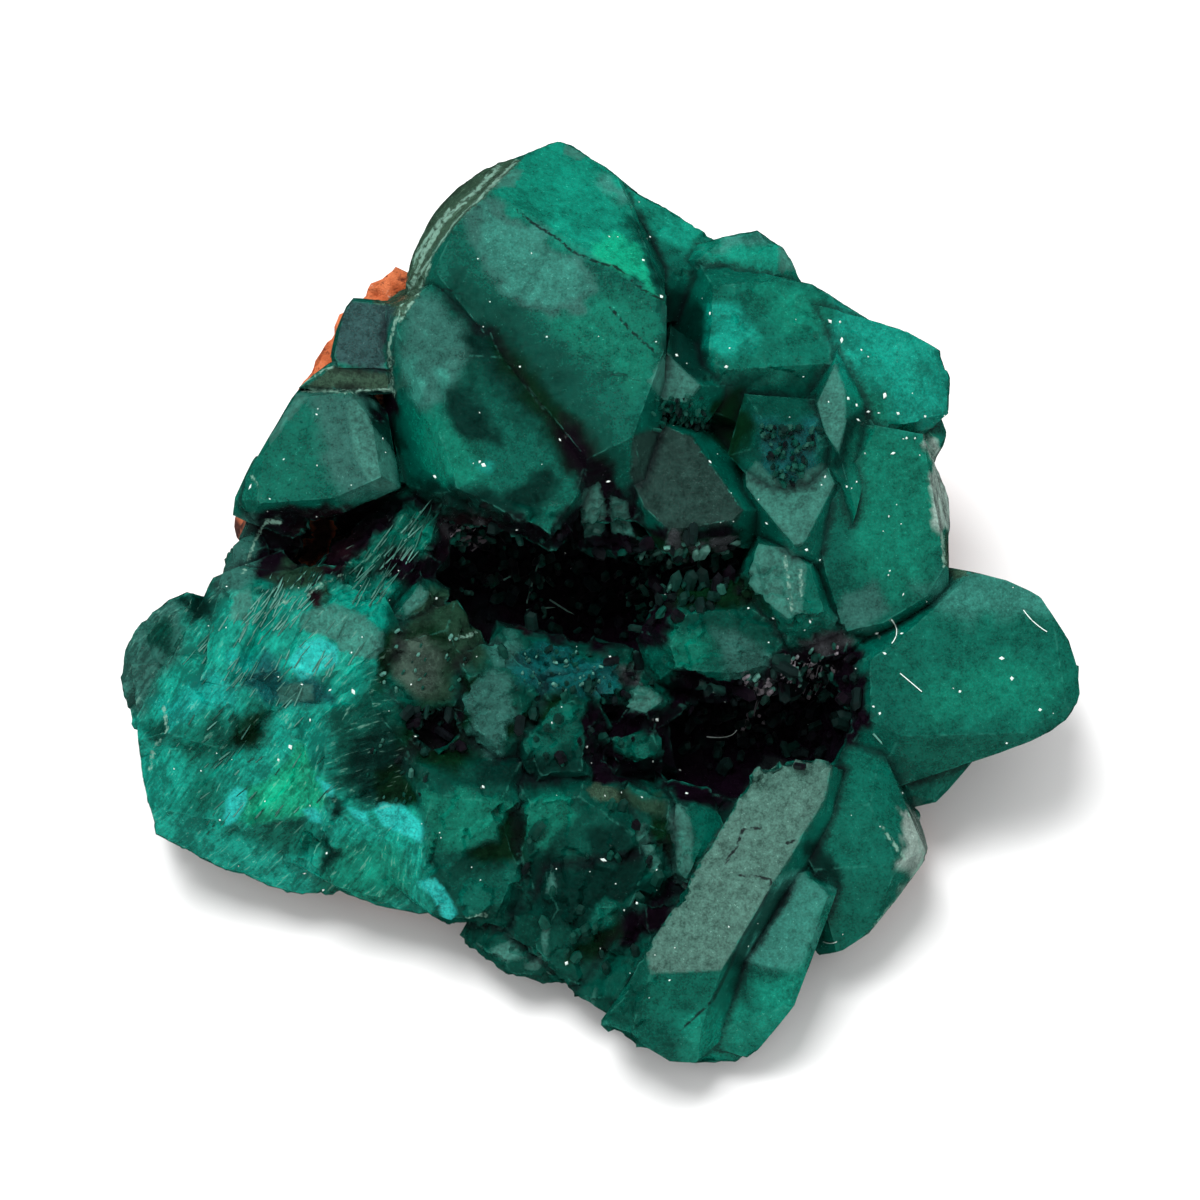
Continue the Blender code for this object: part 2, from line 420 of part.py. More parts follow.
def hull_faces(spots):
    """The flat faces round a convex set of corners, each as a ring of corner numbers."""
    trios = np.array(list(itertools.combinations(range(len(spots)), 3)))
    firsts = spots[trios[:, 0]]
    normals = np.cross(spots[trios[:, 1]] - firsts, spots[trios[:, 2]] - firsts)
    sizes = np.linalg.norm(normals, axis=1)
    firm = sizes > 1e-5
    normals, firsts = normals[firm] / sizes[firm, None], firsts[firm]
    heights = normals @ spots.T - (normals * firsts).sum(axis=1)[:, None]
    faces = {}
    for side in (1.0, -1.0):
        for row in np.flatnonzero((heights * side < FLATNESS).all(axis=1)):
            corners = tuple(np.flatnonzero(np.abs(heights[row]) < FLATNESS))
            faces.setdefault(corners, Vector(normals[row] * side))
    rings = []
    for corners, normal in faces.items():
        middle = Vector(spots[list(corners)].mean(axis=0))
        across = (Vector(spots[corners[0]]) - middle).normalized()
        along = normal.cross(across)
        turns = {}
        for corner in corners:
            arm = Vector(spots[corner]) - middle
            turns[corner] = math.atan2(arm.dot(along), arm.dot(across))
        rings.append(sorted(corners, key=turns.get))
    return rings


def solid(planes):
    """The closed convex mesh behind all the planes."""
    spots = corners_of(planes)
    form = bmesh.new()
    verts = [form.verts.new(spot) for spot in spots]
    for ring in hull_faces(spots):
        form.faces.new([verts[corner] for corner in ring])
    bmesh.ops.delete(form, geom=[vert for vert in form.verts if not vert.link_faces], context="VERTS")
    bmesh.ops.triangulate(form, faces=form.faces)
    bmesh.ops.recalc_face_normals(form, faces=form.faces)
    return form


def to_object(form, name, matrix=None):
    """A new object with the mesh of a bmesh."""
    if matrix is not None:
        bmesh.ops.transform(form, matrix=matrix, verts=form.verts)
    mesh = bpy.data.meshes.new(name)
    form.to_mesh(mesh)
    form.free()
    made = bpy.data.objects.new(name, mesh)
    bpy.context.scene.collection.objects.link(made)
    return made


def closed(form):
    """Whether every edge of a bmesh joins just two faces."""
    return all(len(edge.link_faces) == 2 for edge in form.edges)


def measured(mesh):
    """The volume of a mesh, and whether it is closed."""
    form = bmesh.new()
    form.from_mesh(mesh)
    found = form.calc_volume(), closed(form)
    form.free()
    return found


def combine(target, tool, operation):
    """Apply a Boolean of the tool to the target and remove the tool.

    Where the result isn't closed or its volume can't be right, the tool is moved by a hair and cut again.
    """
    before, added = measured(target.data)[0], measured(tool.data)[0]
    least, most = max(before, added), before + added
    if operation == "DIFFERENCE":
        least, most = before - added, before
    cut = target.modifiers.new("combine", "BOOLEAN")
    cut.object = tool
    cut.operation = operation
    cut.solver = "EXACT"
    for attempt in range(BOOLEAN_TRIES):
        tool.location = Vector(HAIR) * attempt
        cut.use_self = attempt >= BOOLEAN_TRIES // 2
        bpy.context.view_layer.update()
        graph = bpy.context.evaluated_depsgraph_get()
        result = bpy.data.meshes.new_from_object(target.evaluated_get(graph))
        volume, whole = measured(result)
        if whole and least - 0.05 <= volume <= most + 0.05:
            break
    target.modifiers.clear()
    old = target.data
    target.data = result
    bpy.data.meshes.remove(old)
    bpy.data.objects.remove(tool)


def vug(centre, radii, turn, grow):
    """One pocket of the vug as a faceted ball, grown on every side."""
    form = bmesh.new()
    bmesh.ops.create_icosphere(form, subdivisions=2, radius=1.0)
    for vert in form.verts:
        wobble = 1.0 + 0.14 * noise.noise(vert.co * 1.7 + Vector(centre))
        vert.co = Vector([vert.co[axis] * (radii[axis] * wobble + grow) for axis in range(3)])
    place = Matrix.Translation(centre) @ Matrix.Rotation(math.radians(turn), 4, "Z")
    return to_object(form, "vug_tool", TO_WORLD @ place)


def rock(grow):
    """The rough rock with its flat rest face, grown on every side."""
    centre = Vector((-1.0, 3.0, -7.0))
    planes = [(Vector((0, 0, ROCK_FRONT)), Vector((0, -ROCK_SLOPE, 1)).normalized())]
    planes += [wall(start, end, centre, 14.0, ROCK_FRONT - 0.5) for start, end in ROCK_RIM]
    to_front = TO_WORLD.inverted()
    turn = to_front.to_3x3()
    for spot, facing in [((0, 0, 0), (0, 0, -1)), ((ROCK_LEFT, 2, 0), (-1, 0.05, 0.2)),
                         ((ROCK_LEFT + 1.5, ROCK_FAR - 1.5, 0), (-0.7, 0.7, 0.12)),
                         ((0, ROCK_FAR, 0), (0.1, 1, 0.30)), ((ROCK_RIGHT - 2, ROCK_FAR - 4, 0),
                                                              (0.75, 0.65, 0.32)),
                         ((ROCK_RIGHT, 2, 0), (1, -0.05, 0.35)), ((ROCK_RIGHT - 2, ROCK_NEAR + 2, 0),
                                                                  (0.7, -0.7, 0.2)),
                         ((0, ROCK_NEAR, 0), (0, -1, 0.3)), ((ROCK_LEFT + 2, ROCK_NEAR + 2, 0),
                                                             (-0.7, -0.7, 0.2)),
                         ((4.0, 12.4, 9.4), (0.35, 0.5, 0.8)), ((8.5, 8.0, 6.4), (0.7, 0.3, 0.65)),
                         ((-6.0, 13.0, 8.4), (-0.35, 0.8, 0.5))]:
        planes.append((to_front @ Vector(spot), (turn @ Vector(facing)).normalized()))
    form = solid(planes)
    bmesh.ops.transform(form, matrix=TO_WORLD, verts=form.verts)
    bmesh.ops.triangulate(form, faces=form.faces)
    for _ in range(6):
        long_edges = [edge for edge in form.edges if edge.calc_length() > ROCK_EDGE]
        if not long_edges:
            break
        bmesh.ops.subdivide_edges(form, edges=long_edges, cuts=1)
        bmesh.ops.triangulate(form, faces=form.faces)
    form.normal_update()
    moves = {}
    for vert in form.verts:
        resting = vert.co.z < 0.01
        rough = noise.noise_vector(vert.co * 0.45) * 2 + noise.noise_vector(vert.co * 1.3)
        move = rough * ROCK_ROUGHNESS * 0.5 + vert.normal * grow
        if resting:
            move.z = -2 * grow
        moves[vert] = move
    for vert, move in moves.items():
        vert.co += move
        if grow == 0.0:
            vert.co.z = max(vert.co.z, 0.0)
    bmesh.ops.recalc_face_normals(form, faces=form.faces)
    made = to_object(form, "matrix")
    for centre_of, radii, spin in VUGS:
        combine(made, vug(centre_of, radii, spin, VUG_WALL + ROCK_GAP - grow), "DIFFERENCE")
    return made


def crust():
    """The druse that joins the crystals, with its front face behind theirs."""
    centre = Vector((0, -1, -4))
    planes = [(Vector((0, 0, CRUST_FRONT)), Vector((0, -CRUST_SLOPE, 1)).normalized()),
              (Vector((0, 0, CRUST_BACK)), Vector((0, 0, -1)))]
    for start, end in zip(CRUST_OUTLINE, CRUST_OUTLINE[1:] + CRUST_OUTLINE[:1]):
        planes.append(wall(start, end, centre, 24.0, 0.0))
    planes.append(floor_plane(FLOOR_CLEARANCE))
    return to_object(solid(planes), "crystal_cluster", TO_WORLD)


def shells(form):
    """The separate shells of a mesh, each as a set of its corners."""
    left = set(form.verts)
    found = []
    while left:
        shell, edge_of = set(), [left.pop()]
        while edge_of:
            vert = edge_of.pop()
            shell.add(vert)
            fresh = [edge.other_vert(vert) for edge in vert.link_edges]
            edge_of += [other for other in fresh if other in left]
            left.difference_update(fresh)
        found.append(shell)
    return found


def finish(made, colour, roughness, metallic=0.0):
    """Keep the main shell, turn the mesh into metres and give it its material."""
    form = bmesh.new()
    form.from_mesh(made.data)
    for shell in sorted(shells(form), key=len)[:-1]:
        bmesh.ops.delete(form, geom=list(shell), context="VERTS")
    for weld in WELDS:
        welded = form.copy()
        if weld:
            bmesh.ops.remove_doubles(welded, verts=welded.verts, dist=weld)
            bmesh.ops.dissolve_degenerate(welded, edges=welded.edges, dist=weld)
        bmesh.ops.triangulate(welded, faces=welded.faces)
        if closed(welded):
            break
    form.free()
    form = welded
    bmesh.ops.transform(form, matrix=Matrix.Scale(MM, 4), verts=form.verts)
    bmesh.ops.recalc_face_normals(form, faces=form.faces)
    form.to_mesh(made.data)
    form.free()
    made.data.shade_flat()
    material = bpy.data.materials.new(made.name)
    material.use_nodes = True
    shader = material.node_tree.nodes["Principled BSDF"]
    shader.inputs["Base Color"].default_value = (*colour, 1.0)
    shader.inputs["Roughness"].default_value = roughness
    shader.inputs["Metallic"].default_value = metallic
    made.data.materials.clear()
    made.data.materials.append(material)


def main():
    for old in list(bpy.data.objects):
        bpy.data.objects.remove(old, do_unlink=True)
    cluster = crust()
    for crystal in CRYSTALS:
        combine(cluster, to_object(solid(crystal_planes(crystal)), crystal.name, TO_WORLD), "UNION")
    for centre, radii, turn in VUGS:
        combine(cluster, vug(centre, radii, turn, 0.0), "DIFFERENCE")
    for crystal in VUG_CRYSTALS:
        combine(cluster, to_object(solid(crystal_planes(crystal)), crystal.name, TO_WORLD), "UNION")
    combine(cluster, rock(ROCK_GAP), "DIFFERENCE")
    stone = rock(0.0)
    finish(cluster, (0.0, 0.16, 0.11), 0.18)
    finish(stone, (0.60, 0.20, 0.08), 0.8)
    cluster.name = "crystal_cluster"
    stone.name = "matrix"


main()
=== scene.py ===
"""A dioptase specimen: its cluster of green crystals, the vug between them and the rock they grew on.

Everything is laid out in the front frame, in millimetres: x to the right, v up the face of the specimen and w
towards the camera. A place on the face is given by the (x, v) at which the camera sees it.
"""

import itertools
import logging
import math
import random
from collections.abc import Iterable, Sequence
from dataclasses import dataclass, field
from enum import Enum

import bmesh
import bpy
import numpy as np
from mathutils import Matrix, Vector
from mathutils.bvhtree import BVHTree
from mathutils.geometry import delaunay_2d_cdt

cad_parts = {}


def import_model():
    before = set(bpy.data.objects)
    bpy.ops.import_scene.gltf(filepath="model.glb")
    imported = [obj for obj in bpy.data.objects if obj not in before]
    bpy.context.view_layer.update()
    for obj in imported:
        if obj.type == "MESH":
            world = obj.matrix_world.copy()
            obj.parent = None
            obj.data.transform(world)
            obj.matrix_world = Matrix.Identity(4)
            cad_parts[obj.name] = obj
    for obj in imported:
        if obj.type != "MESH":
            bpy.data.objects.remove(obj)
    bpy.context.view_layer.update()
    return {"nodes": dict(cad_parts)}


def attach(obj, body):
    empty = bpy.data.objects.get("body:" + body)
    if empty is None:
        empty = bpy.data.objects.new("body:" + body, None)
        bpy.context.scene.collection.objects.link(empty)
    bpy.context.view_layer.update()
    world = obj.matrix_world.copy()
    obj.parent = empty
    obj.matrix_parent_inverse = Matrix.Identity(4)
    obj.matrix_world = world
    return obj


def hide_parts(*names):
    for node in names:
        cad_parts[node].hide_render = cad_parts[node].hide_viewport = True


LOG = logging.getLogger("dioptase")

MM = 0.001
VIEW_DISTANCE = 150.0
LEAN = math.radians(30.0)
CENTRE_HEIGHT = 9.1
TINY = 1e-12

Spot = tuple[float, float]
Outline = Sequence[Spot]
Colour = tuple[float, float, float]
Socket = bpy.types.NodeSocket
Facet = list[bmesh.types.BMFace]


class Tint(Enum):
    """The colours that lie under the surface, in linear light. The shade and dim tints, the darkest green tint and
    the near-black tint are painted shade (the near-black one also colours the cracks), the lit tint is a painted
    highlight, and the pale mist and ash tints are frost with a painted sheen.
    """

    EMERALD = (0.0, 0.118, 0.082)
    JADE = (0.0, 0.200, 0.130)
    TEAL = (0.0, 0.150, 0.102)
    BLUE = (0.003, 0.110, 0.108)
    GLOW = (0.0, 0.270, 0.182)
    LAGOON = (0.0, 0.310, 0.225)
    SHALLOW = (0.0, 0.340, 0.275)
    # Pale frost, with a painted sheen.
    MIST = (0.034, 0.250, 0.195)
    WINDOW = (0.0, 0.370, 0.200)
    # Painted highlight: the lit sliver along the rim of the top crystal.
    LIT = (0.0, 0.430, 0.240)
    PEARL = (0.300, 0.420, 0.370)
    SHADE = (0.0, 0.072, 0.050)
    DIM = (0.0, 0.030, 0.022)
    # Painted shade in the groove and the small sunk pockets.
    HOLLOW_SHADE = (0.001, 0.022, 0.007)
    # Near black: painted shade in the vug, the deepest pockets and the crevices, and the colour of the cracks.
    BLACK = (0.0062, 0.0022, 0.0068)
    MAROON = (0.014, 0.004, 0.007)
    MOSS = (0.017, 0.060, 0.034)
    BROWN = (0.058, 0.106, 0.080)
    # A pale grey film of frost and dust, with a painted sheen.
    ASH_AND_SHEEN = (0.030, 0.155, 0.125)
    MAUVE = (0.070, 0.078, 0.085)


class Look(Enum):
    """What a crisp patch on the surface is."""

    HAZE = "haze"
    CHALKY = "chalky"
    OLIVE = "olive"
    SLATE = "slate"
    UMBER = "umber"
    CYAN = "cyan"


class Stroke(Enum):
    """What a line on the crystals is."""

    CRACK = "crack"
    STREAK_AND_EDGE_GLINT = "streak_and_edge_glint"


class Break(Enum):
    """How the surface of a zone is broken up."""

    SPLINTERED = "splintered"
    CHIPPED = "chipped"
    DRUSY = "drusy"
    STRIATED = "striated"


@dataclass(frozen=True)
class Zone:
    """A part of the face whose surface is broken in one way.

    Attributes:
        outline: Its edge, as the camera sees it.
        kind: How the surface is broken.
        relief: How deep the relief is, in millimetres.
        grain: The direction that the relief runs in, in degrees from the right.
        length: How long one flake or step is along the grain.
        width: How wide it is across the grain.
        fade: How far the relief takes to die away at the edge.
    """

    outline: Outline
    kind: Break
    relief: float
    grain: float
    length: float
    width: float
    fade: float = 0.5


@dataclass(frozen=True)
class Wash:
    """A soft area of one tint. Each wash covers those before it.

    Attributes:
        tint: Its colour.
        soft: How wide its edge is, in millimetres.
        outline: Its edge, as the camera sees it.
        sink: How far the surface dips under it, in millimetres.
    """

    tint: Tint
    soft: float
    outline: Outline
    sink: float = 0.0


# The darkest washes paint shade into the groove, the pockets and the vug; the lit wash paints a highlight; the
# pale mist and ash washes paint frost with a painted sheen.
WASHES: list[Wash] = [
    Wash(Tint.GLOW, 0.5, [
        (-2.6, 13.2), (-1.05, 14.1), (1.0, 12.8), (1.2, 11.2), (0.2, 10.2), (-1.0, 10.6), (-2.4, 11.6),
        (-3.4, 12.2)]),
    Wash(Tint.LIT, 0.25, [
        (-0.2, 10.7), (0.4, 10.9), (0.95, 10.6), (1.35, 10.0), (1.9, 9.0), (1.2, 9.5), (0.5, 10.0),
        (-0.1, 10.3)]),
    Wash(Tint.MIST, 0.3, [(0.0, 12.8), (0.5, 12.8), (0.95, 12.0), (0.5, 11.9)]),
    Wash(Tint.JADE, 0.9, [
        (-1.6, 8.5), (0.2, 9.3), (1.5, 8.9), (2.0, 7.6), (1.4, 6.4), (0.6, 5.6), (-0.6, 6.9)]),
    Wash(Tint.ASH_AND_SHEEN, 0.2, [
        (-4.0, 11.8), (-3.0, 12.0), (-2.0, 11.0), (-0.4, 10.3), (-0.3, 9.3), (-0.5, 8.7), (-1.5, 8.5),
        (-2.4, 8.8), (-3.5, 10.1), (-4.2, 11.0)]),
    Wash(Tint.MIST, 0.3, [
        (-3.6, 11.7), (-2.3, 11.2), (-0.5, 10.15), (-0.45, 9.3), (-1.4, 8.7), (-2.6, 9.2), (-3.6, 10.5)]),
    Wash(Tint.EMERALD, 0.8, [(-1.4, 7.2), (0.4, 7.0), (1.0, 5.4), (0.5, 4.2), (-0.6, 5.6)]),
    # Painted shade: the groove down the main crystal darkens inward to near black.
    Wash(Tint.SHADE, 1.0, [
        (-5.2, 8.4), (-4.4, 10.2), (-2.6, 8.8), (-1.0, 7.4), (0.6, 4.6), (0.3, 3.8), (-2.0, 5.0),
        (-4.2, 6.6)]),
    Wash(Tint.DIM, 0.6, [
        (-4.9, 8.2), (-3.5, 8.4), (-2.2, 7.2), (-0.4, 4.8), (0.3, 4.0), (-0.7, 3.8), (-2.0, 5.4), (-3.6, 7.1),
        (-4.9, 7.5)]),
    Wash(Tint.HOLLOW_SHADE, 0.7, [
        (-3.2, 7.9), (-2.2, 7.1), (-0.4, 4.7), (0.2, 3.9), (-0.8, 3.9), (-1.8, 5.4), (-3.0, 7.1)], 0.05),
    Wash(Tint.BLACK, 0.6, [(-1.2, 5.6), (-0.3, 4.6), (0.2, 3.8), (-0.7, 3.8), (-1.2, 4.6)], 0.05),
    Wash(Tint.ASH_AND_SHEEN, 0.5, [(-5.7, 9.2), (-4.6, 8.9), (-4.0, 7.6), (-4.4, 6.3), (-5.3, 5.6), (-6.0, 6.6)]),
    Wash(Tint.MIST, 0.3, [(-5.95, 7.3), (-5.5, 7.3), (-5.25, 6.2), (-5.5, 5.8), (-5.8, 6.1)]),
    Wash(Tint.MIST, 0.25, [(-5.0, 6.9), (-4.7, 6.9), (-4.45, 6.2), (-4.7, 5.9)]),
    Wash(Tint.DIM, 0.6, [(-4.8, 6.3), (-3.9, 6.5), (-3.3, 5.6), (-3.1, 4.8), (-3.9, 4.6), (-4.5, 5.0)]),
    Wash(Tint.SHALLOW, 0.25, [(-3.9, 4.3), (-3.5, 4.3), (-3.4, 4.0), (-3.8, 3.9)]),
    Wash(Tint.JADE, 0.5, [(-5.6, 5.6), (-4.9, 5.7), (-4.0, 4.7), (-3.4, 3.8), (-4.6, 3.5), (-5.5, 4.2)]),
    Wash(Tint.DIM, 0.6, [
        (1.3, 11.6), (1.9, 10.2), (2.2, 9.4), (3.3, 9.2), (3.4, 8.0), (3.2, 6.8), (2.0, 6.4), (1.9, 7.6),
        (2.0, 9.0), (1.4, 10.4), (0.8, 11.4)]),
    Wash(Tint.GLOW, 0.6, [(0.9, 12.7), (2.8, 11.4), (3.6, 10.6), (2.6, 10.3), (1.6, 11.0), (1.0, 12.0)]),
    Wash(Tint.GLOW, 0.5, [
        (3.0, 10.3), (3.8, 10.9), (4.9, 11.3), (5.9, 10.9), (6.3, 9.8), (5.2, 9.8), (4.0, 9.9)]),
    Wash(Tint.MIST, 0.3, [(3.2, 10.5), (4.2, 10.9), (4.9, 11.4), (5.1, 10.9), (4.0, 10.4)]),
    Wash(Tint.TEAL, 0.6, [(2.8, 9.6), (3.6, 10.0), (6.8, 9.5), (7.1, 7.0), (6.0, 6.4), (3.5, 6.8)]),
    Wash(Tint.LAGOON, 0.5, [(3.2, 8.9), (4.2, 8.8), (4.6, 8.0), (4.0, 7.2), (3.3, 7.6)]),
    Wash(Tint.JADE, 0.8, [(4.6, 9.5), (6.6, 9.3), (6.9, 8.2), (5.4, 8.2)]),
    Wash(Tint.SHADE, 0.6, [(3.4, 6.8), (6.6, 6.7), (6.6, 4.4), (4.8, 4.0), (3.4, 4.9)]),
    Wash(Tint.BLUE, 0.5, [(4.7, 5.5), (6.6, 5.4), (6.5, 4.0), (5.9, 3.4), (5.4, 3.4), (4.9, 4.0)]),
    Wash(Tint.HOLLOW_SHADE, 0.4, [(3.3, 6.0), (4.2, 6.3), (4.6, 5.2), (4.2, 4.2), (3.2, 4.9)]),
    Wash(Tint.LAGOON, 0.5, [
        (8.3, 5.1), (7.2, 6.6), (7.0, 9.2), (8.8, 8.8), (10.4, 7.8), (10.9, 5.9), (10.2, 5.1)]),
    Wash(Tint.JADE, 0.8, [(7.6, 6.9), (8.6, 6.2), (8.9, 5.2), (8.2, 5.0), (7.5, 5.8)]),
    Wash(Tint.DIM, 0.3, [(6.9, 4.4), (7.3, 5.3), (7.9, 5.6), (8.5, 5.2), (7.9, 4.2), (7.3, 3.6)]),
    Wash(Tint.JADE, 0.8, [
        (7.9, 5.2), (10.0, 4.9), (10.3, 2.1), (9.9, 0.5), (8.7, -0.2), (7.6, 1.0), (7.4, 3.2)]),
    Wash(Tint.ASH_AND_SHEEN, 0.4, [(7.2, -0.8), (7.4, 0.2), (8.2, 0.4), (8.7, -0.4), (8.0, -0.9)]),
    Wash(Tint.TEAL, 0.8, [
        (9.1, -0.6), (11.6, 0.6), (14.0, 0.2), (14.6, -2.2), (13.6, -3.8), (10.8, -4.2), (9.2, -3.6),
        (8.6, -2.0)]),
    Wash(Tint.MIST, 0.8, [(9.6, 0.4), (11.6, 1.2), (13.6, 0.9), (14.0, -0.3), (12.0, -0.5), (10.2, -0.4)]),
    Wash(Tint.JADE, 1.0, [(9.8, -3.6), (13.6, -3.4), (14.0, -2.2), (11.8, -1.8), (9.8, -2.6)]),
    Wash(Tint.TEAL, 0.5, [(9.0, -3.8), (10.4, -4.4), (12.2, -4.3), (11.6, -5.2), (10.4, -5.6), (9.4, -4.8)]),
    Wash(Tint.TEAL, 0.8, [(7.0, -5.0), (8.6, -4.6), (9.1, -6.6), (8.2, -7.6), (7.0, -7.8), (6.6, -6.4)]),
    Wash(Tint.PEARL, 0.2, [
        (8.9, -6.2), (9.3, -6.3), (10.0, -7.4), (9.3, -8.9), (8.1, -10.1), (7.6, -9.9), (8.6, -8.5),
        (9.1, -7.5)]),
    Wash(Tint.PEARL, 0.12, [(9.75, 4.8), (10.3, 4.6), (10.9, 2.1), (10.2, 2.0)]),
    Wash(Tint.TEAL, 0.6, [
        (6.8, -8.0), (8.4, -7.6), (9.4, -8.2), (8.2, -10.6), (7.0, -11.8), (6.4, -10.8), (6.9, -9.0)]),
    Wash(Tint.DIM, 0.3, [(5.9, -7.4), (6.5, -8.0), (7.1, -8.8), (7.1, -7.9), (6.4, -7.2)]),
    Wash(Tint.MIST, 0.3, [(4.1, -10.7), (5.2, -8.3), (6.1, -8.1), (6.9, -8.8), (6.5, -10.2), (6.0, -11.4)]),
    Wash(Tint.DIM, 0.25, [
        (5.1, -8.6), (5.85, -8.4), (5.5, -9.4), (4.35, -10.9), (3.9, -12.3), (3.3, -13.2), (2.9, -13.0),
        (3.4, -12.2), (3.8, -11.0), (4.7, -9.4)]),
    Wash(Tint.GLOW, 0.8, [(2.2, -12.4), (3.6, -12.0), (4.6, -12.6), (4.4, -14.0), (2.6, -13.8)]),
    Wash(Tint.GLOW, 0.8, [(4.6, -11.6), (6.4, -11.0), (6.6, -12.2), (5.4, -13.8), (4.6, -13.6)]),
    Wash(Tint.TEAL, 0.6, [(1.2, -11.3), (4.0, -11.2), (3.4, -12.2), (1.2, -12.6), (-0.2, -12.0)]),
    Wash(Tint.TEAL, 0.6, [
        (-12.4, 2.6), (-11.5, 3.9), (-10.0, 5.0), (-8.9, 5.9), (-8.4, 5.0), (-8.9, 3.1), (-11.0, 2.6)]),
    Wash(Tint.ASH_AND_SHEEN, 0.5, [(-8.5, 6.3), (-7.0, 6.3), (-6.2, 4.6), (-5.9, 3.1), (-7.7, 3.1), (-8.4, 4.2)]),
    Wash(Tint.DIM, 0.25, [(-7.0, 6.25), (-6.3, 6.3), (-5.9, 4.7), (-6.1, 4.2), (-6.9, 5.2)]),
    # Painted shade: the deep vug between the crystals is painted near black.
    Wash(Tint.BLACK, 0.3, [
        (-11.0, 2.5), (-8.9, 2.7), (-7.5, 2.9), (-5.9, 3.2), (-4.0, 3.3), (-1.6, 2.1), (-0.7, 3.0),
        (-0.6, 3.8), (0.3, 4.1), (1.0, 3.3), (1.3, 2.3), (4.2, 2.3), (4.4, 0.4), (2.4, -0.3), (2.0, -1.4),
        (0.4, -1.6), (-2.9, -1.0), (-4.2, 0.0), (-5.2, 0.5), (-6.9, 0.6), (-7.6, 0.7), (-8.6, 0.5),
        (-9.8, 0.2), (-10.6, 0.4)]),
    Wash(Tint.MAROON, 0.5, [(-9.4, 2.3), (-8.0, 2.7), (-6.9, 2.6), (-7.4, 1.2), (-8.6, 0.9)]),
    Wash(Tint.MAROON, 0.5, [(-3.2, 0.4), (-2.3, 0.6), (-2.3, -0.9), (-3.3, -0.7)]),
    Wash(Tint.MAROON, 0.6, [(-4.8, 2.9), (-3.0, 2.6), (-2.8, 1.4), (-4.4, 1.2)]),
    Wash(Tint.ASH_AND_SHEEN, 0.3, [(-11.8, 0.0), (-11.3, 2.6), (-10.5, 2.4), (-10.3, 1.2), (-10.9, -0.1)]),
    Wash(Tint.DIM, 0.5, [
        (-5.6, 3.6), (-4.4, 3.5), (-3.0, 3.4), (-1.6, 3.9), (-1.0, 3.4), (-2.0, 2.6), (-5.4, 2.8)]),
    Wash(Tint.MOSS, 0.4, [(-10.1, 0.5), (-9.2, 1.4), (-8.5, 1.3), (-8.4, 0.5), (-9.3, 0.0)]),
    Wash(Tint.TEAL, 0.35, [
        (-7.7, 0.4), (-6.9, 0.8), (-6.4, 1.5), (-5.2, 1.5), (-4.8, 2.1), (-5.2, 2.5), (-5.6, 2.8),
        (-6.3, 2.2), (-7.2, 1.4)]),
    Wash(Tint.HOLLOW_SHADE, 0.4, [(1.0, 2.0), (1.6, 1.9), (4.2, 1.9), (4.2, 1.2), (2.8, 0.8), (1.2, 1.0)]),
    Wash(Tint.MAUVE, 0.15, [(1.9, 1.9), (2.4, 1.95), (2.5, 1.4), (2.1, 1.25)]),
    Wash(Tint.MAUVE, 0.15, [(2.65, 1.6), (3.1, 1.65), (3.2, 1.1), (2.8, 0.9)]),
    Wash(Tint.MAUVE, 0.15, [(3.3, 1.9), (3.9, 1.9), (4.1, 1.4), (3.6, 1.2), (3.3, 1.4)]),
    Wash(Tint.BLACK, 0.3, [(-6.9, 6.3), (-6.3, 6.3), (-6.1, 5.4), (-6.8, 5.4)]),
    Wash(Tint.LAGOON, 0.6, [
        (-14.8, -0.6), (-13.0, 0.8), (-11.4, 0.1), (-9.5, 0.2), (-8.0, 0.6), (-6.2, 0.3), (-6.2, -0.8),
        (-6.8, -1.9), (-7.0, -3.4), (-7.4, -5.0), (-5.6, -6.0), (-4.8, -7.2), (-5.2, -10.2), (-9.5, -9.4),
        (-12.0, -8.2), (-14.0, -7.0), (-14.6, -4.0)]),
    Wash(Tint.ASH_AND_SHEEN, 0.5, [
        (-13.4, 0.1), (-12.4, 0.2), (-12.5, -0.9), (-13.0, -2.2), (-13.8, -3.4), (-14.6, -3.4),
        (-14.6, -1.6)]),
    Wash(Tint.DIM, 0.35, [(-12.6, 0.2), (-12.3, -0.6), (-11.8, -0.4), (-11.4, 0.1), (-11.9, 0.3)]),
    Wash(Tint.SHADE, 0.5, [(-13.6, -0.7), (-12.9, -0.6), (-12.9, -1.6), (-13.6, -1.4)]),
    Wash(Tint.SHALLOW, 0.5, [
        (-12.8, -2.8), (-11.6, -2.1), (-11.0, -2.4), (-11.0, -3.2), (-12.0, -3.5), (-13.1, -4.0),
        (-13.4, -3.0)]),
    Wash(Tint.SHALLOW, 0.35, [(-11.1, -1.6), (-9.9, -1.8), (-10.1, -2.3), (-11.1, -2.2)]),
    Wash(Tint.BLUE, 0.4, [
        (-10.0, -1.6), (-9.4, -2.2), (-8.4, -2.4), (-8.0, -3.0), (-9.9, -3.1), (-10.8, -2.6)]),
    Wash(Tint.TEAL, 0.6, [
        (-12.8, -4.2), (-11.6, -3.6), (-10.9, -3.5), (-10.1, -3.0), (-9.6, -3.2), (-10.4, -4.5),
        (-11.1, -5.0), (-12.4, -4.9)]),
    Wash(Tint.SHADE, 0.6, [
        (-11.8, -4.0), (-11.0, -3.7), (-10.1, -3.1), (-9.8, -3.2), (-10.5, -4.5), (-11.2, -4.6)]),
    Wash(Tint.HOLLOW_SHADE, 0.3, [(-10.9, -3.8), (-10.1, -3.2), (-9.95, -3.3), (-10.5, -4.3), (-11.0, -4.4)]),
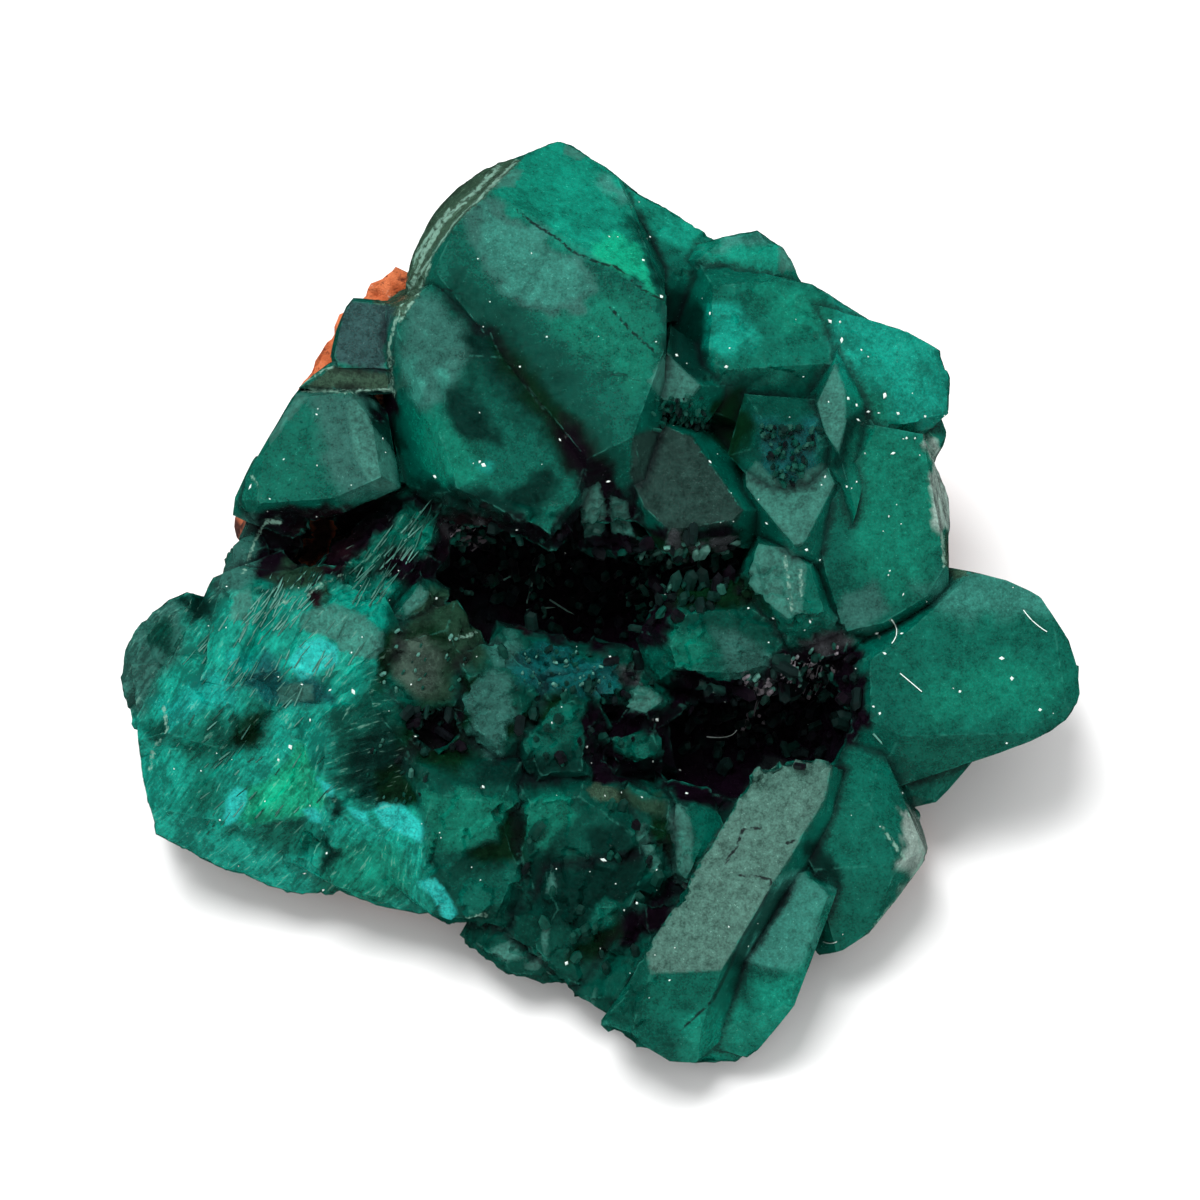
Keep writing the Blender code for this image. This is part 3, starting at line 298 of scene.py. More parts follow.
    Wash(Tint.SHADE, 0.3, [(-13.8, -3.6), (-13.1, -3.6), (-13.0, -4.1), (-13.5, -4.3)], 0.06),
    Wash(Tint.TEAL, 0.8, [(-12.1, -5.1), (-11.3, -5.1), (-11.3, -6.2), (-11.7, -6.6), (-12.7, -6.2)]),
    Wash(Tint.WINDOW, 0.25, [
        (-10.8, -5.8), (-9.8, -5.2), (-9.2, -4.3), (-8.7, -4.4), (-8.3, -5.2), (-8.3, -6.2), (-9.0, -6.4),
        (-10.0, -6.5), (-10.8, -6.65)]),
    Wash(Tint.TEAL, 0.6, [
        (-10.7, -6.75), (-9.9, -6.6), (-9.0, -6.5), (-8.4, -6.7), (-8.4, -7.5), (-9.6, -7.6),
        (-11.0, -7.1)], 0.05),
    Wash(Tint.SHADE, 0.15, [(-10.2, -6.62), (-9.0, -6.45), (-8.9, -6.6), (-10.1, -6.75)]),
    Wash(Tint.JADE, 0.6, [(-8.6, -7.4), (-6.4, -7.2), (-5.4, -8.2), (-6.6, -9.6), (-8.4, -8.9)]),
    Wash(Tint.DIM, 0.25, [(-8.2, -6.0), (-7.6, -6.0), (-7.6, -6.5), (-8.0, -6.6)], 0.1),
    Wash(Tint.DIM, 0.35, [(-8.5, -7.3), (-8.2, -7.1), (-7.9, -8.0), (-8.4, -8.3)], 0.1),
    Wash(Tint.SHADE, 0.8, [
        (-8.2, -3.4), (-6.8, -2.4), (-5.8, -4.2), (-5.0, -5.0), (-5.2, -6.1), (-7.6, -6.0), (-8.2, -5.4)]),
    Wash(Tint.DIM, 0.5, [
        (-7.4, -4.2), (-6.2, -3.6), (-5.6, -4.6), (-5.0, -5.2), (-5.2, -6.1), (-7.2, -6.0),
        (-7.5, -5.2)], 0.1),
    Wash(Tint.HOLLOW_SHADE, 0.35, [(-6.8, -5.1), (-6.0, -4.9), (-5.4, -5.4), (-5.6, -6.2), (-6.7, -6.0)], 0.15),
    Wash(Tint.MAROON, 0.2, [(-8.8, 0.3), (-8.4, 0.3), (-8.2, -0.3), (-8.7, -0.4)]),
    Wash(Tint.MOSS, 0.2, [(-8.3, 0.6), (-8.1, 0.4), (-8.1, -0.2), (-8.4, 0.1)]),
    Wash(Tint.SHADE, 0.5, [
        (-6.4, -0.4), (-4.8, 0.7), (-3.4, 0.0), (-2.6, -1.0), (0.5, -1.6), (2.0, -2.6), (2.0, -5.4),
        (-0.5, -5.8), (-5.5, -5.6), (-6.0, -3.0), (-6.8, -1.4)]),
    Wash(Tint.MOSS, 0.5, [
        (-5.4, 0.3), (-4.4, 0.4), (-3.6, -0.4), (-3.4, -1.2), (-3.6, -1.9), (-4.3, -2.2), (-4.6, -2.9),
        (-5.4, -3.2), (-6.1, -2.4), (-6.2, -1.3), (-5.8, -0.5)]),
    Wash(Tint.HOLLOW_SHADE, 0.3, [
        (-6.6, -1.8), (-6.2, -1.0), (-5.4, -0.7), (-4.6, -0.9), (-4.7, -1.2), (-5.6, -1.2), (-6.2, -2.2),
        (-6.8, -2.8)], 0.1),
    Wash(Tint.BROWN, 0.5, [
        (-6.1, -2.4), (-6.0, -1.2), (-5.3, -1.0), (-4.8, -1.6), (-4.9, -2.5), (-5.5, -2.9)]),
    Wash(Tint.ASH_AND_SHEEN, 0.3, [(-3.4, -1.3), (-2.8, -1.0), (-2.4, -1.3), (-2.5, -2.0), (-3.2, -2.0)]),
    Wash(Tint.BLUE, 0.3, [
        (-2.5, -1.5), (-1.2, -1.3), (-0.3, -1.7), (0.5, -1.7), (0.5, -2.9), (-0.5, -2.8), (-1.5, -2.6),
        (-2.5, -2.5)]),
    Wash(Tint.ASH_AND_SHEEN, 0.25, [
        (-4.0, -2.2), (-3.2, -2.1), (-2.6, -2.6), (-2.3, -3.6), (-2.9, -4.2), (-3.3, -4.6), (-4.0, -4.0),
        (-4.1, -3.1)]),
    Wash(Tint.EMERALD, 0.25, [
        (-1.9, -3.4), (-1.1, -3.0), (-0.5, -3.4), (-0.5, -4.4), (-1.2, -4.5), (-2.3, -4.4)]),
    Wash(Tint.HOLLOW_SHADE, 0.2, [
        (-2.8, -4.4), (-1.6, -3.4), (-1.0, -2.8), (-1.3, -2.7), (-2.3, -3.5), (-2.9, -4.1)], 0.15),
    Wash(Tint.HOLLOW_SHADE, 0.15, [(-4.0, -2.2), (-3.7, -2.15), (-3.9, -2.8), (-4.3, -2.8)], 0.1),
    Wash(Tint.HOLLOW_SHADE, 0.7, [
        (-5.9, -3.3), (-4.5, -3.1), (-4.0, -3.6), (-3.8, -4.4), (-4.3, -5.2), (-5.2, -4.9),
        (-6.0, -4.3)], 0.1),
    Wash(Tint.BLACK, 0.4, [(-5.3, -3.5), (-4.6, -3.3), (-4.3, -3.9), (-4.6, -4.3), (-5.2, -4.1)], 0.1),
    Wash(Tint.DIM, 0.4, [(-3.8, -4.6), (-0.4, -4.6), (-0.3, -5.7), (-2.0, -5.9), (-3.6, -5.5)]),
    Wash(Tint.BLACK, 0.3, [
        (-0.4, -3.0), (0.6, -3.2), (2.0, -3.2), (2.3, -5.6), (-0.1, -5.4), (-0.35, -4.4)], 0.1),
    Wash(Tint.EMERALD, 0.2, [(0.2, -4.1), (1.7, -3.9), (1.7, -4.9), (1.0, -4.85), (0.3, -4.6)], -0.12),
    Wash(Tint.SHADE, 0.5, [
        (-5.4, -5.5), (-3.0, -5.6), (0.2, -5.5), (2.6, -6.0), (3.0, -8.0), (2.2, -10.0), (1.0, -12.8),
        (-1.6, -11.8), (-4.9, -10.6), (-5.2, -8.0)]),
    Wash(Tint.JADE, 0.35, [
        (-5.2, -5.7), (-3.4, -5.7), (-2.8, -6.0), (-2.6, -6.5), (-3.3, -7.1), (-4.2, -7.5), (-5.2, -7.4)]),
    Wash(Tint.JADE, 0.3, [
        (-2.4, -6.4), (-1.9, -5.9), (-1.0, -5.8), (-0.7, -6.3), (-1.1, -6.9), (-1.7, -7.4), (-2.4, -7.0)]),
    Wash(Tint.EMERALD, 0.4, [
        (-4.9, -7.6), (-3.4, -8.2), (-2.4, -8.2), (-2.4, -9.1), (-3.4, -9.4), (-4.3, -9.2), (-4.7, -8.4)]),
    Wash(Tint.HOLLOW_SHADE, 0.35, [
        (-2.7, -6.3), (-2.4, -6.8), (-2.3, -7.7), (-3.4, -8.0), (-4.0, -7.5), (-3.2, -7.2)], 0.15),
    Wash(Tint.DIM, 0.4, [
        (-2.3, -7.6), (-1.3, -7.4), (-0.6, -6.9), (0.6, -6.6), (1.2, -7.6), (1.6, -8.6), (0.6, -9.0),
        (-0.6, -9.9), (-1.7, -9.8), (-2.3, -9.0)]),
    Wash(Tint.SHADE, 0.3, [(-1.4, -7.1), (-0.6, -6.8), (-0.2, -7.6), (-0.9, -8.1), (-1.5, -7.7)]),
    Wash(Tint.BLACK, 0.35, [
        (0.3, -9.9), (1.0, -9.2), (2.1, -8.4), (2.6, -8.3), (1.8, -10.0), (0.6, -10.4)], 0.15),
    Wash(Tint.HOLLOW_SHADE, 0.3, [(-1.0, -10.6), (-0.2, -10.1), (0.6, -9.4), (0.3, -10.6), (-0.6, -11.0)], 0.1),
    Wash(Tint.EMERALD, 0.2, [(-0.4, -9.8), (0.1, -9.0), (0.45, -9.0), (0.5, -9.5), (-0.1, -10.1)], -0.08),
    Wash(Tint.MOSS, 0.2, [(0.5, -5.7), (1.9, -6.0), (2.1, -6.6), (1.5, -6.6), (0.6, -6.2)]),
    Wash(Tint.HOLLOW_SHADE, 0.2, [(1.4, -6.6), (2.1, -6.6), (2.3, -7.9), (1.9, -7.6)], 0.1),
    Wash(Tint.BLACK, 0.3, [
        (5.3, -1.6), (7.7, -1.3), (8.0, -3.8), (7.3, -5.0), (4.9, -4.9), (3.6, -6.4), (2.2, -5.9),
        (1.9, -3.4), (2.2, -2.1), (4.0, -2.3)]),
    Wash(Tint.HOLLOW_SHADE, 0.4, [(2.2, 0.6), (4.0, 1.0), (4.8, 0.1), (5.4, -0.6), (3.2, -0.1), (2.2, -0.3)]),
    Wash(Tint.SHADE, 0.5, [
        (2.1, -1.0), (3.0, -0.4), (4.6, -0.2), (5.3, -1.1), (5.0, -1.6), (3.9, -1.9), (2.2, -2.1)]),
    Wash(Tint.JADE, 0.5, [(1.9, -1.1), (3.0, -1.0), (3.5, -1.7), (2.3, -2.1)]),
    Wash(Tint.ASH_AND_SHEEN, 0.4, [(3.4, -1.0), (4.6, -1.2), (5.2, -1.8), (4.6, -2.4), (3.8, -2.0)]),
    Wash(Tint.MAUVE, 0.3, [(4.6, -2.4), (5.1, -2.5), (4.9, -3.3), (4.5, -4.0), (4.2, -3.9), (4.4, -3.2)]),
    Wash(Tint.MAUVE, 0.25, [(6.0, -1.3), (6.6, -1.7), (7.2, -1.5), (7.5, -1.1), (6.4, -1.1)]),
    Wash(Tint.DIM, 0.4, [(6.6, -4.3), (7.3, -3.3), (7.6, -4.8), (6.9, -5.0)]),
    Wash(Tint.TEAL, 0.12, [(2.65, -4.05), (3.2, -4.1), (3.2, -4.4), (2.7, -4.35)]),
    Wash(Tint.MAUVE, 0.2, [(2.6, -4.4), (3.1, -4.4), (3.1, -4.9), (2.7, -4.8)]),
    Wash(Tint.MAUVE, 0.2, [(-4.6, 2.2), (-4.2, 2.2), (-3.7, 2.3), (-3.4, 1.8), (-4.0, 1.4), (-4.4, 1.8)]),
    Wash(Tint.MAUVE, 0.3, [(0.6, -2.0), (1.2, -2.0), (1.3, -2.5), (0.6, -2.4)]),
]

PATCHES: dict[Look, list[Outline]] = {
    # Pale frosted facets, with a painted sheen.
    Look.HAZE: [
        [(-1.0, 13.7), (-0.4, 13.4), (-0.6, 13.2), (-1.1, 13.4)],
        [(-3.3, 12.4), (-2.9, 12.95), (-2.3, 12.9), (-2.6, 12.4)],
        [(-7.6, 5.9), (-7.15, 6.05), (-6.9, 5.3), (-6.2, 4.5), (-6.1, 3.3), (-6.8, 3.3), (-7.4, 4.4)],
        [(-9.1, 6.3), (-10.0, 5.2), (-9.9, 4.7), (-8.7, 6.2)],
        [(1.45, 6.6), (2.0, 7.4), (3.0, 6.45), (2.6, 5.9), (1.9, 6.0)],
        [(6.5, 5.9), (7.05, 7.1), (7.35, 6.3), (7.4, 5.4), (7.15, 4.45), (6.75, 5.0)],
        [
            (4.35, 3.4), (4.35, 3.8), (4.7, 4.2), (5.0, 3.85), (5.4, 3.5), (5.9, 3.5), (6.25, 3.9),
            (6.7, 4.1), (7.05, 3.5), (6.1, 1.65), (5.8, 1.65)],
        [(4.4, 0.5), (4.75, 1.7), (5.6, 1.55), (6.2, 1.1), (6.05, -0.45), (5.65, -0.55)],
        [(-0.55, 2.7), (-0.45, 3.3), (0.0, 3.5), (0.15, 2.6), (0.05, 1.9), (-0.4, 1.95)],
        [(0.4, 1.95), (0.33, 3.1), (0.8, 2.95), (1.0, 1.95)],
        [(0.8, -3.3), (0.8, -2.6), (1.15, -2.5), (1.85, -3.05), (1.35, -3.4)],
        [(5.35, 10.6), (5.6, 10.6), (5.9, 9.9), (5.4, 9.85)],
        [
            (-9.0, -0.4), (-8.0, -0.1), (-7.0, -0.5), (-6.5, -1.0), (-6.45, -1.5), (-6.8, -1.8), (-7.8, -1.5),
            (-7.9, -1.2), (-8.5, -1.0), (-9.0, -0.8)],
        [(-9.65, -2.6), (-9.1, -2.5), (-8.6, -2.5), (-8.6, -3.0), (-9.6, -3.1)],
        [(-10.9, 0.2), (-10.5, 0.4), (-10.4, -0.2), (-10.8, -0.6), (-11.2, -0.6)],
        [(-5.9, -0.1), (-5.4, 0.45), (-5.15, 0.3), (-5.3, -0.1), (-5.85, -0.45)],
        [(-3.4, -10.5), (-2.6, -10.2), (-2.3, -10.7), (-2.9, -10.9)],
        [(-2.3, -11.0), (-1.8, -10.7), (-1.8, -11.1), (-2.1, -11.2)],
        [(-1.55, -8.8), (-1.45, -8.0), (-1.25, -8.9)],
        [(-1.8, -9.9), (-1.55, -9.8), (-1.6, -10.8), (-1.75, -10.3)],
        [(-0.4, -12.3), (-0.1, -11.6), (-0.2, -12.2)],
        [(2.0, -6.4), (2.4, -6.1), (2.7, -6.6), (2.8, -8.1), (2.4, -8.6), (2.15, -8.2), (2.3, -7.4)],
        [(1.0, -6.8), (1.3, -6.7), (1.7, -7.6), (1.9, -8.1), (1.7, -8.3), (1.3, -7.5)],
        [(-2.2, -0.3), (-1.8, -0.1), (-1.5, -0.4), (-1.8, -0.55)],
        [(3.0, -2.55), (3.8, -2.65), (3.7, -2.8), (2.9, -2.7)],
    ],
    # The long bar's pale film of frost, with a painted sheen.
    Look.CHALKY: [
        [(1.4, -10.6), (4.85, -4.8), (6.95, -4.95), (6.75, -6.0), (3.65, -11.1), (1.55, -11.2)],
    ],
    Look.OLIVE: [
        [
            (-2.4, 13.2), (-3.3, 12.3), (-4.2, 11.4), (-5.0, 10.5), (-5.3, 9.4), (-5.9, 8.5), (-6.8, 8.6),
            (-6.8, 10.9), (-5.0, 12.5), (-3.4, 13.6)],
        [(-8.0, 7.0), (-8.9, 6.35), (-6.3, 6.3), (-6.35, 6.8)],
        [(10.4, 2.1), (11.0, 1.6), (11.4, 0.9), (10.6, 0.6), (10.3, 1.2)],
        [(-0.4, -5.7), (-0.1, -5.4), (0.6, -5.7), (0.6, -6.0), (-0.1, -6.0)],
    ],
    Look.SLATE: [
        [(-7.7, 8.6), (-7.5, 9.0), (-6.2, 8.85), (-6.5, 7.5), (-6.4, 6.8), (-7.9, 7.1), (-8.0, 7.4)],
    ],
    Look.UMBER: [
        [(0.9, 3.7), (1.0, 4.9), (1.95, 5.25), (2.75, 4.9), (4.3, 2.7), (4.1, 2.3), (2.05, 2.0), (1.3, 2.8)],
    ],
    # Bright green-blue flakes: their colour is partly painted glints where they catch the light.
    Look.CYAN: [
        [(-9.4, -1.85), (-8.9, -1.3), (-8.4, -1.1), (-7.9, -1.4), (-7.85, -1.9), (-8.5, -2.2), (-8.95, -2.4)],
        [
            (-11.3, -6.6), (-11.2, -5.9), (-10.9, -5.6), (-10.6, -5.7), (-10.6, -6.1), (-10.9, -6.6),
            (-11.2, -6.8)],
        [(-8.95, -6.3), (-8.5, -6.2), (-8.3, -6.7), (-8.7, -6.6)],
        [(-8.5, -5.3), (-8.0, -5.6), (-8.0, -5.9), (-8.2, -5.8)],
        [(-7.6, -6.2), (-7.0, -6.4), (-6.9, -6.8), (-7.4, -6.5)],
        [
            (-6.8, -6.3), (-6.5, -6.1), (-5.9, -6.2), (-5.4, -6.6), (-5.3, -6.9), (-5.4, -7.3), (-6.0, -7.0),
            (-6.5, -6.8)],
        [(-5.5, -8.5), (-5.0, -8.3), (-4.7, -8.6), (-4.4, -9.1), (-4.3, -9.6), (-4.7, -9.7), (-5.0, -9.0)],
    ],
}

LINES: dict[Stroke, list[Outline]] = {
    Stroke.CRACK: [
        [(0.3, 8.8), (0.9, 8.1), (1.7, 7.4)],
        [(0.3, 6.8), (0.7, 6.75), (1.0, 6.65), (1.3, 6.6)],
        [(-4.9, 9.3), (-4.5, 9.3), (-4.1, 9.2)],
        [(4.8, -6.85), (4.3, -6.85), (4.1, -7.4), (3.75, -7.9)],
        [(5.6, -7.3), (5.9, -7.2)],
        [(4.2, -8.25), (4.7, -8.3), (5.2, -8.4)],
        [(5.2, -8.4), (4.9, -9.1), (4.3, -10.1), (3.9, -11.0), (3.4, -12.0), (2.4, -12.9)],
        [
            (-2.5, 11.7), (-2.0, 11.3), (-1.2, 10.8), (-0.9, 10.5), (0.0, 10.1), (0.5, 10.0), (1.3, 9.3),
            (1.9, 9.0)],
    ],
    # Pale streaks: several follow ridges and facet edges as painted highlights; the rest lie on the faces.
    Stroke.STREAK_AND_EDGE_GLINT: [
        [
            (-2.5, 13.2), (-3.4, 12.3), (-4.35, 11.4), (-5.0, 10.4), (-5.5, 9.7), (-6.0, 8.9), (-6.35, 7.6),
            (-6.2, 6.1)],
        [(-3.0, 13.0), (-4.0, 12.05), (-4.75, 11.3), (-5.3, 10.4), (-5.8, 9.3)],
        [(-4.5, 11.7), (-5.2, 10.8), (-5.75, 9.9), (-6.2, 8.9)],
        [(-5.1, 10.1), (-5.5, 9.2), (-6.0, 8.4)],
        [(5.55, 1.3), (5.65, 0.5), (5.75, -0.3)],
        [(6.0, 0.9), (6.05, 0.1)],
        [(-4.3, -1.1), (-3.9, -1.05), (-3.7, -0.9)],
        [(-10.45, 3.7), (-10.2, 3.3), (-10.1, 3.0)],
        [(-9.6, 2.3), (-10.0, 2.35), (-10.3, 1.9), (-10.7, 0.8)],
        [(-13.1, -3.2), (-13.05, -3.9), (-13.4, -4.5), (-13.5, -5.1)],
        [(-8.9, 6.3), (-7.5, 6.26), (-6.3, 6.3)],
        [(-9.1, 6.4), (-8.5, 6.8), (-8.0, 7.0)],
        [(10.28, 2.0), (10.3, 1.5), (10.35, 1.0)],
        [(8.45, -6.8), (8.8, -7.3), (9.2, -7.8)],
        [(9.3, -6.4), (9.6, -6.9), (9.9, -7.4), (9.2, -8.7), (8.2, -9.8)],
        [(-8.8, 0.15), (-8.3, 0.5), (-7.6, 0.8)],
        [(-10.1, -0.4), (-9.6, -0.1), (-9.2, 0.1)],
        [(-4.0, -9.5), (-3.7, -9.4), (-3.4, -9.5)],
    ],
}

ZONES: list[Zone] = [
    Zone([
        (-15, -0.9), (-13.4, 0.8), (-11.2, 0.4), (-9.3, 0.3), (-8.0, 0.1), (-6.4, -0.7), (-6.3, -3.0),
        (-6.0, -4.6), (-5.2, -6.5), (-5.0, -10.6), (-15, -9)], Break.SPLINTERED, 0.12, 54.0, 3.0, 1.5),
    Zone([
        (-5.2, -5.6), (-2.5, -5.8), (0.2, -5.2), (2.8, -6.0), (3.2, -8.0), (2.3, -10.0), (1.2, -13.4),
        (-5.2, -10.8)], Break.CHIPPED, 0.24, 70.0, 1.2, 0.8),
    Zone([
        (-3.4, -1.2), (0.4, -1.6), (2.0, -2.6), (2.0, -5.2), (-0.5, -5.6),
        (-3.4, -5.2)], Break.CHIPPED, 0.19, 20.0, 0.8, 0.6),
    Zone([
        (-6.6, -0.6), (-4.0, -0.6), (-3.4, -1.2), (-3.4, -5.0), (-5.5, -5.0),
        (-6.6, -3.0)], Break.CHIPPED, 0.16, 20.0, 0.55, 0.45),
    Zone([
        (3.1, 6.4), (3.1, 9.4), (4.3, 9.9), (6.9, 9.2), (7.1, 7.0),
        (4.2, 6.2)], Break.CHIPPED, 0.10, 30.0, 0.9, 0.7),
    Zone([
        (-9.4, 2.6), (-4.0, 3.2), (-0.7, 2.6), (0.3, 3.6), (1.0, 2.1), (2.1, 1.5), (4.2, 1.9), (8.0, -1.2),
        (8.0, -4.0), (6.8, -5.4), (3.4, -6.4), (2.0, -3.0), (-3.0, -1.6), (-5.2, 0.0),
        (-9.4, 0.3)], Break.DRUSY, 0.20, 0.0, 0.7, 0.7),
    Zone([
        (-2.4, 13.4), (-3.3, 12.3), (-4.2, 11.4), (-5.0, 10.5), (-5.3, 9.4), (-5.9, 8.5), (-6.8, 8.6),
        (-6.4, 10.7), (-5.0, 12.4), (-3.4, 13.8)], Break.STRIATED, 0.07, 52.0, 3.0, 0.30),
    Zone([
        (-3.2, 12.2), (-1.1, 14.0), (1.2, 12.8), (2.0, 9.2), (0.5, 10.1), (-0.9, 10.6),
        (-2.5, 11.8)], Break.CHIPPED, 0.018, 110.0, 1.6, 1.0, 0.3),
    Zone([(9.6, 5.0), (10.4, 5.0), (10.9, 2.0), (10.1, 2.0)], Break.STRIATED, 0.05, 100.0, 2.5, 0.16, 0.2),
    Zone([
        (1.0, 12.9), (3.6, 11.4), (6.0, 11.2), (6.4, 9.7), (3.2, 9.6),
        (2.0, 9.3)], Break.CHIPPED, 0.08, 45.0, 1.4, 1.1),
    Zone([
        (-8.8, -0.2), (-7.6, 1.6), (-5.6, 3.0), (-4.8, 2.4), (-5.2, 1.2),
        (-6.9, -0.6)], Break.SPLINTERED, 0.14, 50.0, 2.0, 0.5, 0.25),
    Zone([
        (6.9, 9.6), (10.4, 8.2), (10.9, 5.8), (9.8, 4.9), (8.2, 5.1),
        (7.2, 6.8)], Break.CHIPPED, 0.06, 140.0, 1.9, 1.4),
]

SPECKS: list[Spot] = [
    (-3.5, 8.2), (-1.6, 7.9), (-3.3, 8.95), (-2.4, 7.0), (-1.2, 4.8), (-3.8, 4.1), (-3.6, 4.15), (-3.5, 4.05),
    (1.5, 10.9), (1.3, 10.2), (1.85, 9.1), (2.7, 11.35), (2.6, 7.1), (2.3, 7.35), (3.3, 8.6), (3.8, 7.0),
    (3.3, 4.15), (6.9, 8.35), (7.2, 8.35), (7.25, 7.8), (7.85, 7.5), (8.05, 7.3), (6.1, 6.7), (7.45, 6.05),
    (7.7, 5.85), (8.05, 5.65), (7.75, 5.4), (8.55, 6.15), (8.95, 5.6), (9.75, 5.5), (9.2, 4.85), (9.45, 4.85),
    (9.8, 4.8), (8.8, 4.4), (7.95, 4.4), (7.4, 3.4), (7.7, 3.55), (6.75, 3.7), (5.0, 2.3), (6.2, 1.5),
    (6.6, 1.2), (8.65, 0.75), (9.8, -0.05), (-8.5, 2.5), (-10.5, 3.4), (-4.95, 3.7), (-2.5, 2.1),
    (0.25, 3.55), (1.3, 0.7), (1.5, 0.55), (1.95, 0.15), (-4.9, 0.05), (-4.5, -1.2), (-3.7, -1.7),
    (-0.7, -1.4), (0.3, -1.7), (2.4, -0.65), (4.45, -0.25), (5.2, -0.55), (6.3, -0.65), (-8.1, -2.7),
    (-7.4, -2.75), (-8.7, -3.6), (-11.5, -4.6), (-9.3, -4.4), (-9.65, -4.8), (-8.2, -7.6), (-8.3, -8.7),
    (-11.4, -6.6), (-3.5, -5.6), (-0.4, -4.4), (1.7, -3.6), (2.4, -5.1), (2.6, -5.8), (8.2, -3.2),
    (8.4, -3.4), (8.55, -1.6), (9.05, -1.0), (8.3, -1.0), (12.05, -1.75), (12.35, -2.35), (10.6, -2.65),
    (10.8, -2.75), (12.2, -4.3), (13.2, -3.3), (13.6, -3.4), (8.4, -6.8), (0.1, -7.8), (-0.3, -8.15),
    (1.1, -9.1), (1.7, -8.7), (1.7, -8.1), (0.9, -11.2), (-1.0, -10.9), (3.75, -3.05),
]

FIBRES: list[Outline] = [
    [(12.7, -0.3), (13.0, -0.65), (13.4, -0.95)],
    [(9.0, -2.2), (9.3, -2.45), (9.65, -2.75)],
    [(8.75, -0.6), (8.9, -0.95), (8.75, -1.3)],
    [(3.2, -4.1), (3.8, -4.1), (4.1, -3.9)],
    [(6.7, -10.25), (6.9, -10.3), (7.1, -10.25)],
]


class FrontFrame:
    """The frame that the face of the specimen is laid out in."""

    upright = Matrix.Translation((0, 0, CENTRE_HEIGHT * MM)) @ Matrix.Rotation(LEAN, 4, "X")
    place = upright @ Matrix.Scale(MM, 4)
    eye = Vector((0.0, 0.0, VIEW_DISTANCE))

    @classmethod
    def from_world(cls) -> Matrix:
        """The matrix from metres in the room to millimetres in the front frame."""
        return cls.place.inverted()

    @classmethod
    def to_world(cls, points: np.ndarray) -> np.ndarray:
        """Points of the front frame as points in the room.

        Args:
            points: An array of (x, v, w) rows, in millimetres.

        Returns:
            The same points in metres, with Z up.
        """
        turn = np.array(cls.place.to_3x3())
        return points @ turn.T + np.array(cls.place.translation)

    @classmethod
    def seen(cls, points: np.ndarray) -> np.ndarray:
        """Where the camera sees points of the front frame, as (x, v) rows."""
        share = VIEW_DISTANCE / (VIEW_DISTANCE - points[:, 2:3])
        return points[:, :2] * share


class Noise:
    """Repeatable noise in space, worked out for many points at once.

    Attributes:
        factors: The large numbers that a cell's place is mixed with.
        seed_factor: The one for the seed.
        mixers: Those for each of the three random numbers.
        top: The greatest mixed number.
        layer_shift: How far each finer layer is shifted.
        tilt: How strongly a flake is tilted.
        lift: How far flakes lie above and below each other.
        redraws: What makes new random numbers of old ones, for a flake's tilt and for its tone.
    """

    factors = (73856093, 19349663, 83492791)
    seed_factor = 668265263
    mixers = (2246822519, 3266489917, 374761393)
    top = 0xFFFFFFFF
    layer_shift = 17.3
    tilt = 0.9
    lift = 0.8
    redraws = (7.31, 5.7)

    def __init__(self, seed: int) -> None:
        """Keep the number that tells one noise from another."""
        self.seed = seed

    def scatter(self, cells: np.ndarray) -> np.ndarray:
        """Three even random numbers for each whole-number cell.

        Args:
            cells: An array of whole-number rows.

        Returns:
            An array of the same shape with values from 0 to 1.
        """
        x, y, z = (cells.astype(np.int64) * self.factors).T
        mixed = ((x ^ y ^ z) + self.seed * self.seed_factor) & self.top
        found = []
        for mixer in self.mixers:
            mixed = ((mixed ^ (mixed >> 15)) * mixer) & self.top
            mixed = (mixed ^ (mixed >> 13)) & self.top
            found.append(mixed / self.top)
        return np.stack(found, axis=1)

    def smooth(self, points: np.ndarray) -> np.ndarray:
        """Smooth noise from -1 to 1.

        Args:
            points: Rows of positions, already scaled so that a cell is one unit.

        Returns:
            One value for each row.
        """
        base = np.floor(points)
        part = points - base
        ease = part * part * (3 - 2 * part)
        total = np.zeros(len(points))
        for corner in itertools.product((0, 1), repeat=3):
            step = np.array(corner)
            weight = np.where(step, ease, 1 - ease).prod(axis=1)
            total += weight * self.scatter(base + step)[:, 0]
        return total * 2 - 1

    def layered(self, points: np.ndarray, layers: int = 4) -> np.ndarray:
        """Smooth noise in several sizes, each half as large and half as strong as the last."""
        total, strength = np.zeros(len(points)), 1.0
        for layer in range(layers):
            total += self.smooth(points * 2**layer + self.layer_shift * layer) * strength
            strength *= 0.5
        return total

    def flakes(self, points: np.ndarray) -> tuple[np.ndarray, np.ndarray]:
        """Flat tilted flakes, as a broken crystal has.

        Args:
            points: Rows of positions, already scaled so that a flake is about one unit.

        Returns:
            The height of each point on its flake, about -1 to 1, and a random number for its flake.
        """
        base = np.floor(points)
        nearest = np.full(len(points), np.inf)
        offset, chance = np.zeros_like(points), np.zeros_like(points)
        for corner in itertools.product((-1, 0, 1), repeat=3):
            cell = base + np.array(corner)
            centre = self.scatter(cell)
            away = points - cell - centre
            distance = (away**2).sum(axis=1)
            closer = distance < nearest
            nearest[closer] = distance[closer]
            offset[closer], chance[closer] = away[closer], centre[closer]
        tilt = np.modf(chance * self.redraws[0])[0] * 2 - 1
        height = (offset * tilt).sum(axis=1) * self.tilt + (chance[:, 0] - 0.5) * self.lift
        return height, np.modf(chance[:, 1] * self.redraws[1])[0]


